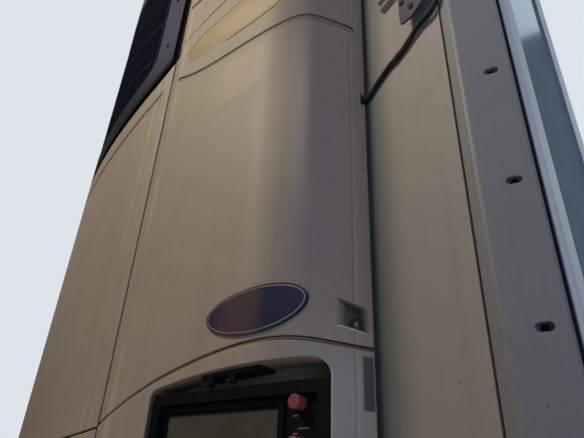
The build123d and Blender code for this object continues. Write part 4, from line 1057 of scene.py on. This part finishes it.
def fan_guards():
    """Wire rings and spokes in front of the evaporator's fans."""
    rings, spokes = [], []
    y, hub, rim, ring_steps, spokes_each = EVAP_REACH - 0.0022, 0.03, 0.187, 24, 8
    turns = [2 * pi * i / ring_steps for i in range(ring_steps)]
    for x in (EVAP_FAN_X, -EVAP_FAN_X):
        for r in (0.05, 0.077, 0.104, 0.131, 0.158, 0.185):
            rings.append([(x + r * cos(turn), y, EVAP_FAN_Z + r * sin(turn)) for turn in turns])
        for i in range(spokes_each):
            turn = 2 * pi * (i + 0.5) / spokes_each
            spokes.append([(x + r * cos(turn), y, EVAP_FAN_Z + r * sin(turn)) for r in (hub, rim)])
    strands("fan_guard_rings", rings, 0.0015, ZINC, closed=True)
    strands("fan_guard_spokes", spokes, 0.0018, ZINC)


def cover_screws():
    """Screws along the upper and lower edge of the evaporator's cover."""
    columns, first, pitch, inset, sunk = 13, -0.66, 0.11, 0.012, 0.003
    places = []
    for column in range(columns):
        for z in (EVAP_LOW + inset, EVAP_HIGH - inset):
            places.append(placed((first + pitch * column, EVAP_REACH - sunk, z), (0, 1, 0)))
    fasteners("cover_screws", SCREW, places, ZINC)


def outlet_slats():
    """Tilted slats in the evaporator's two air outlets."""
    middle, rows, pitch, length, depth, sunk = 0.315, 5, 0.024, 0.61, 0.018, 0.012
    tilt = Matrix.Rotation(radians(-35), 4, "X")
    mesh = bmesh.new()
    for row in range(rows):
        for side in (1, -1):
            spot = (side * middle, EVAP_REACH - sunk, OUTLET_LOW + pitch * (row + 0.5))
            place = placed(spot, (0, 1, 0)) @ tilt
            slab(mesh, rounded(length, depth, 0.004, 3), -0.001, 0.001, place, 0.0006)
    fitted("outlet_slats", mesh, ENAMEL)


def blank_data_plate():
    """Blank plate between the evaporator's fans."""
    width, height, place = 0.09, 0.055, placed((0, EVAP_REACH, EVAP_FAN_Z), (0, 1, 0))
    mesh = bmesh.new()
    slab(mesh, rounded(width, height, 0.004, 4), -0.001, -0.0002, place, 0.0003)
    fitted("blank_data_plate", mesh, LABEL)


latch_bolt()
pocket_lip()
badge_rim()
arch_seam_strips()
flange_label()
door_decal()
trim_screws()
slot_rivets()
rail_rivets()
control_marks()
bracket_screws()
wall_louvre()
cable_extras()
fan_guards()
cover_screws()
outlet_slats()
blank_data_plate()


# Floor, lamps and background

def pale_world():
    """Pale background for the camera, and a faint cool light for everything else."""
    world = bpy.data.worlds.new("pale_background")
    bpy.context.scene.world = world
    world.use_nodes = True
    nodes = Nodes(world.node_tree)
    seen = nodes.node("ShaderNodeLightPath", output="Is Camera Ray")
    ambient = nodes.node("ShaderNodeBackground", {}, {0: (0.85, 0.9, 1, 1), 1: 0.1})
    pale = nodes.node("ShaderNodeBackground", {}, {0: srgb(222, 228, 234), 1: 1})
    nodes.end(nodes.node("ShaderNodeMixShader", {}, {0: seen, 1: ambient, 2: pale}))


def pale_floor():
    """Plain floor that stays pale for the camera and keeps the object's shadow."""
    half, z = 14, WALL_LOW - 0.001
    corners = ((-half, -half), (half, -half), (half, half), (-half, half))
    data = bpy.data.meshes.new("floor")
    data.from_pydata([(x, y, z) for x, y in corners], [], [(0, 1, 2, 3)])
    floor = bpy.data.objects.new("floor", data)
    bpy.context.scene.collection.objects.link(floor)
    finish = Finish("floor_paint", Roughness=0.8, Base_Color=srgb(206, 208, 210))
    seen = finish.node("ShaderNodeLightPath", output="Is Camera Ray")
    painted = Value(finish, finish.surface.outputs[0])
    lit = finish.node("ShaderNodeEmission", {}, {0: srgb(214, 218, 222), 1: 1.15})
    finish.end(finish.node("ShaderNodeMixShader", {}, {0: seen * 0.9, 1: painted, 2: lit}))
    data.materials.append(finish.material)


def softbox(name, spot, target, size, watts, colour=(1, 1, 1), spread=180):
    """Rectangular lamp at a spot, aimed at a target."""
    lamp = bpy.data.lights.new(name, "AREA")
    lamp.shape = "RECTANGLE"
    lamp.size, lamp.size_y = size
    lamp.energy = watts
    lamp.color = colour
    lamp.spread = radians(spread)
    holder = bpy.data.objects.new(name, lamp)
    bpy.context.scene.collection.objects.link(holder)
    holder.location = spot
    holder.rotation_mode = "QUATERNION"
    holder.rotation_quaternion = (Vector(target) - Vector(spot)).to_track_quat("-Z", "Y")


pale_world()
pale_floor()
softbox("key_softbox", (0.5, -3.0, 3.9), (0.9, -0.3, 2.1), (1.2, 1.2), 36, (1, 0.88, 0.68), 130)
softbox("side_softbox", (4.6, -0.9, 2.2), (1.0, -0.2, 1.4), (3, 4), 54, (0.42, 0.52, 0.88))
softbox("far_softbox", (-3.6, -2.6, 3.4), (-0.9, -0.2, 1.3), (2.6, 3.2), 7, (0.92, 0.96, 1))
softbox("sky_softbox", (2.66, 2.27, 6.0), (1.3, -0.04, 1.85), (2.6, 2.6), 32, (0.76, 0.9, 1))
softbox("rear_softbox", (1.5, 5.2, 4.2), (0, 0, 1.6), (4, 3), 130)
bpy.context.scene.view_settings.view_transform = "Standard"
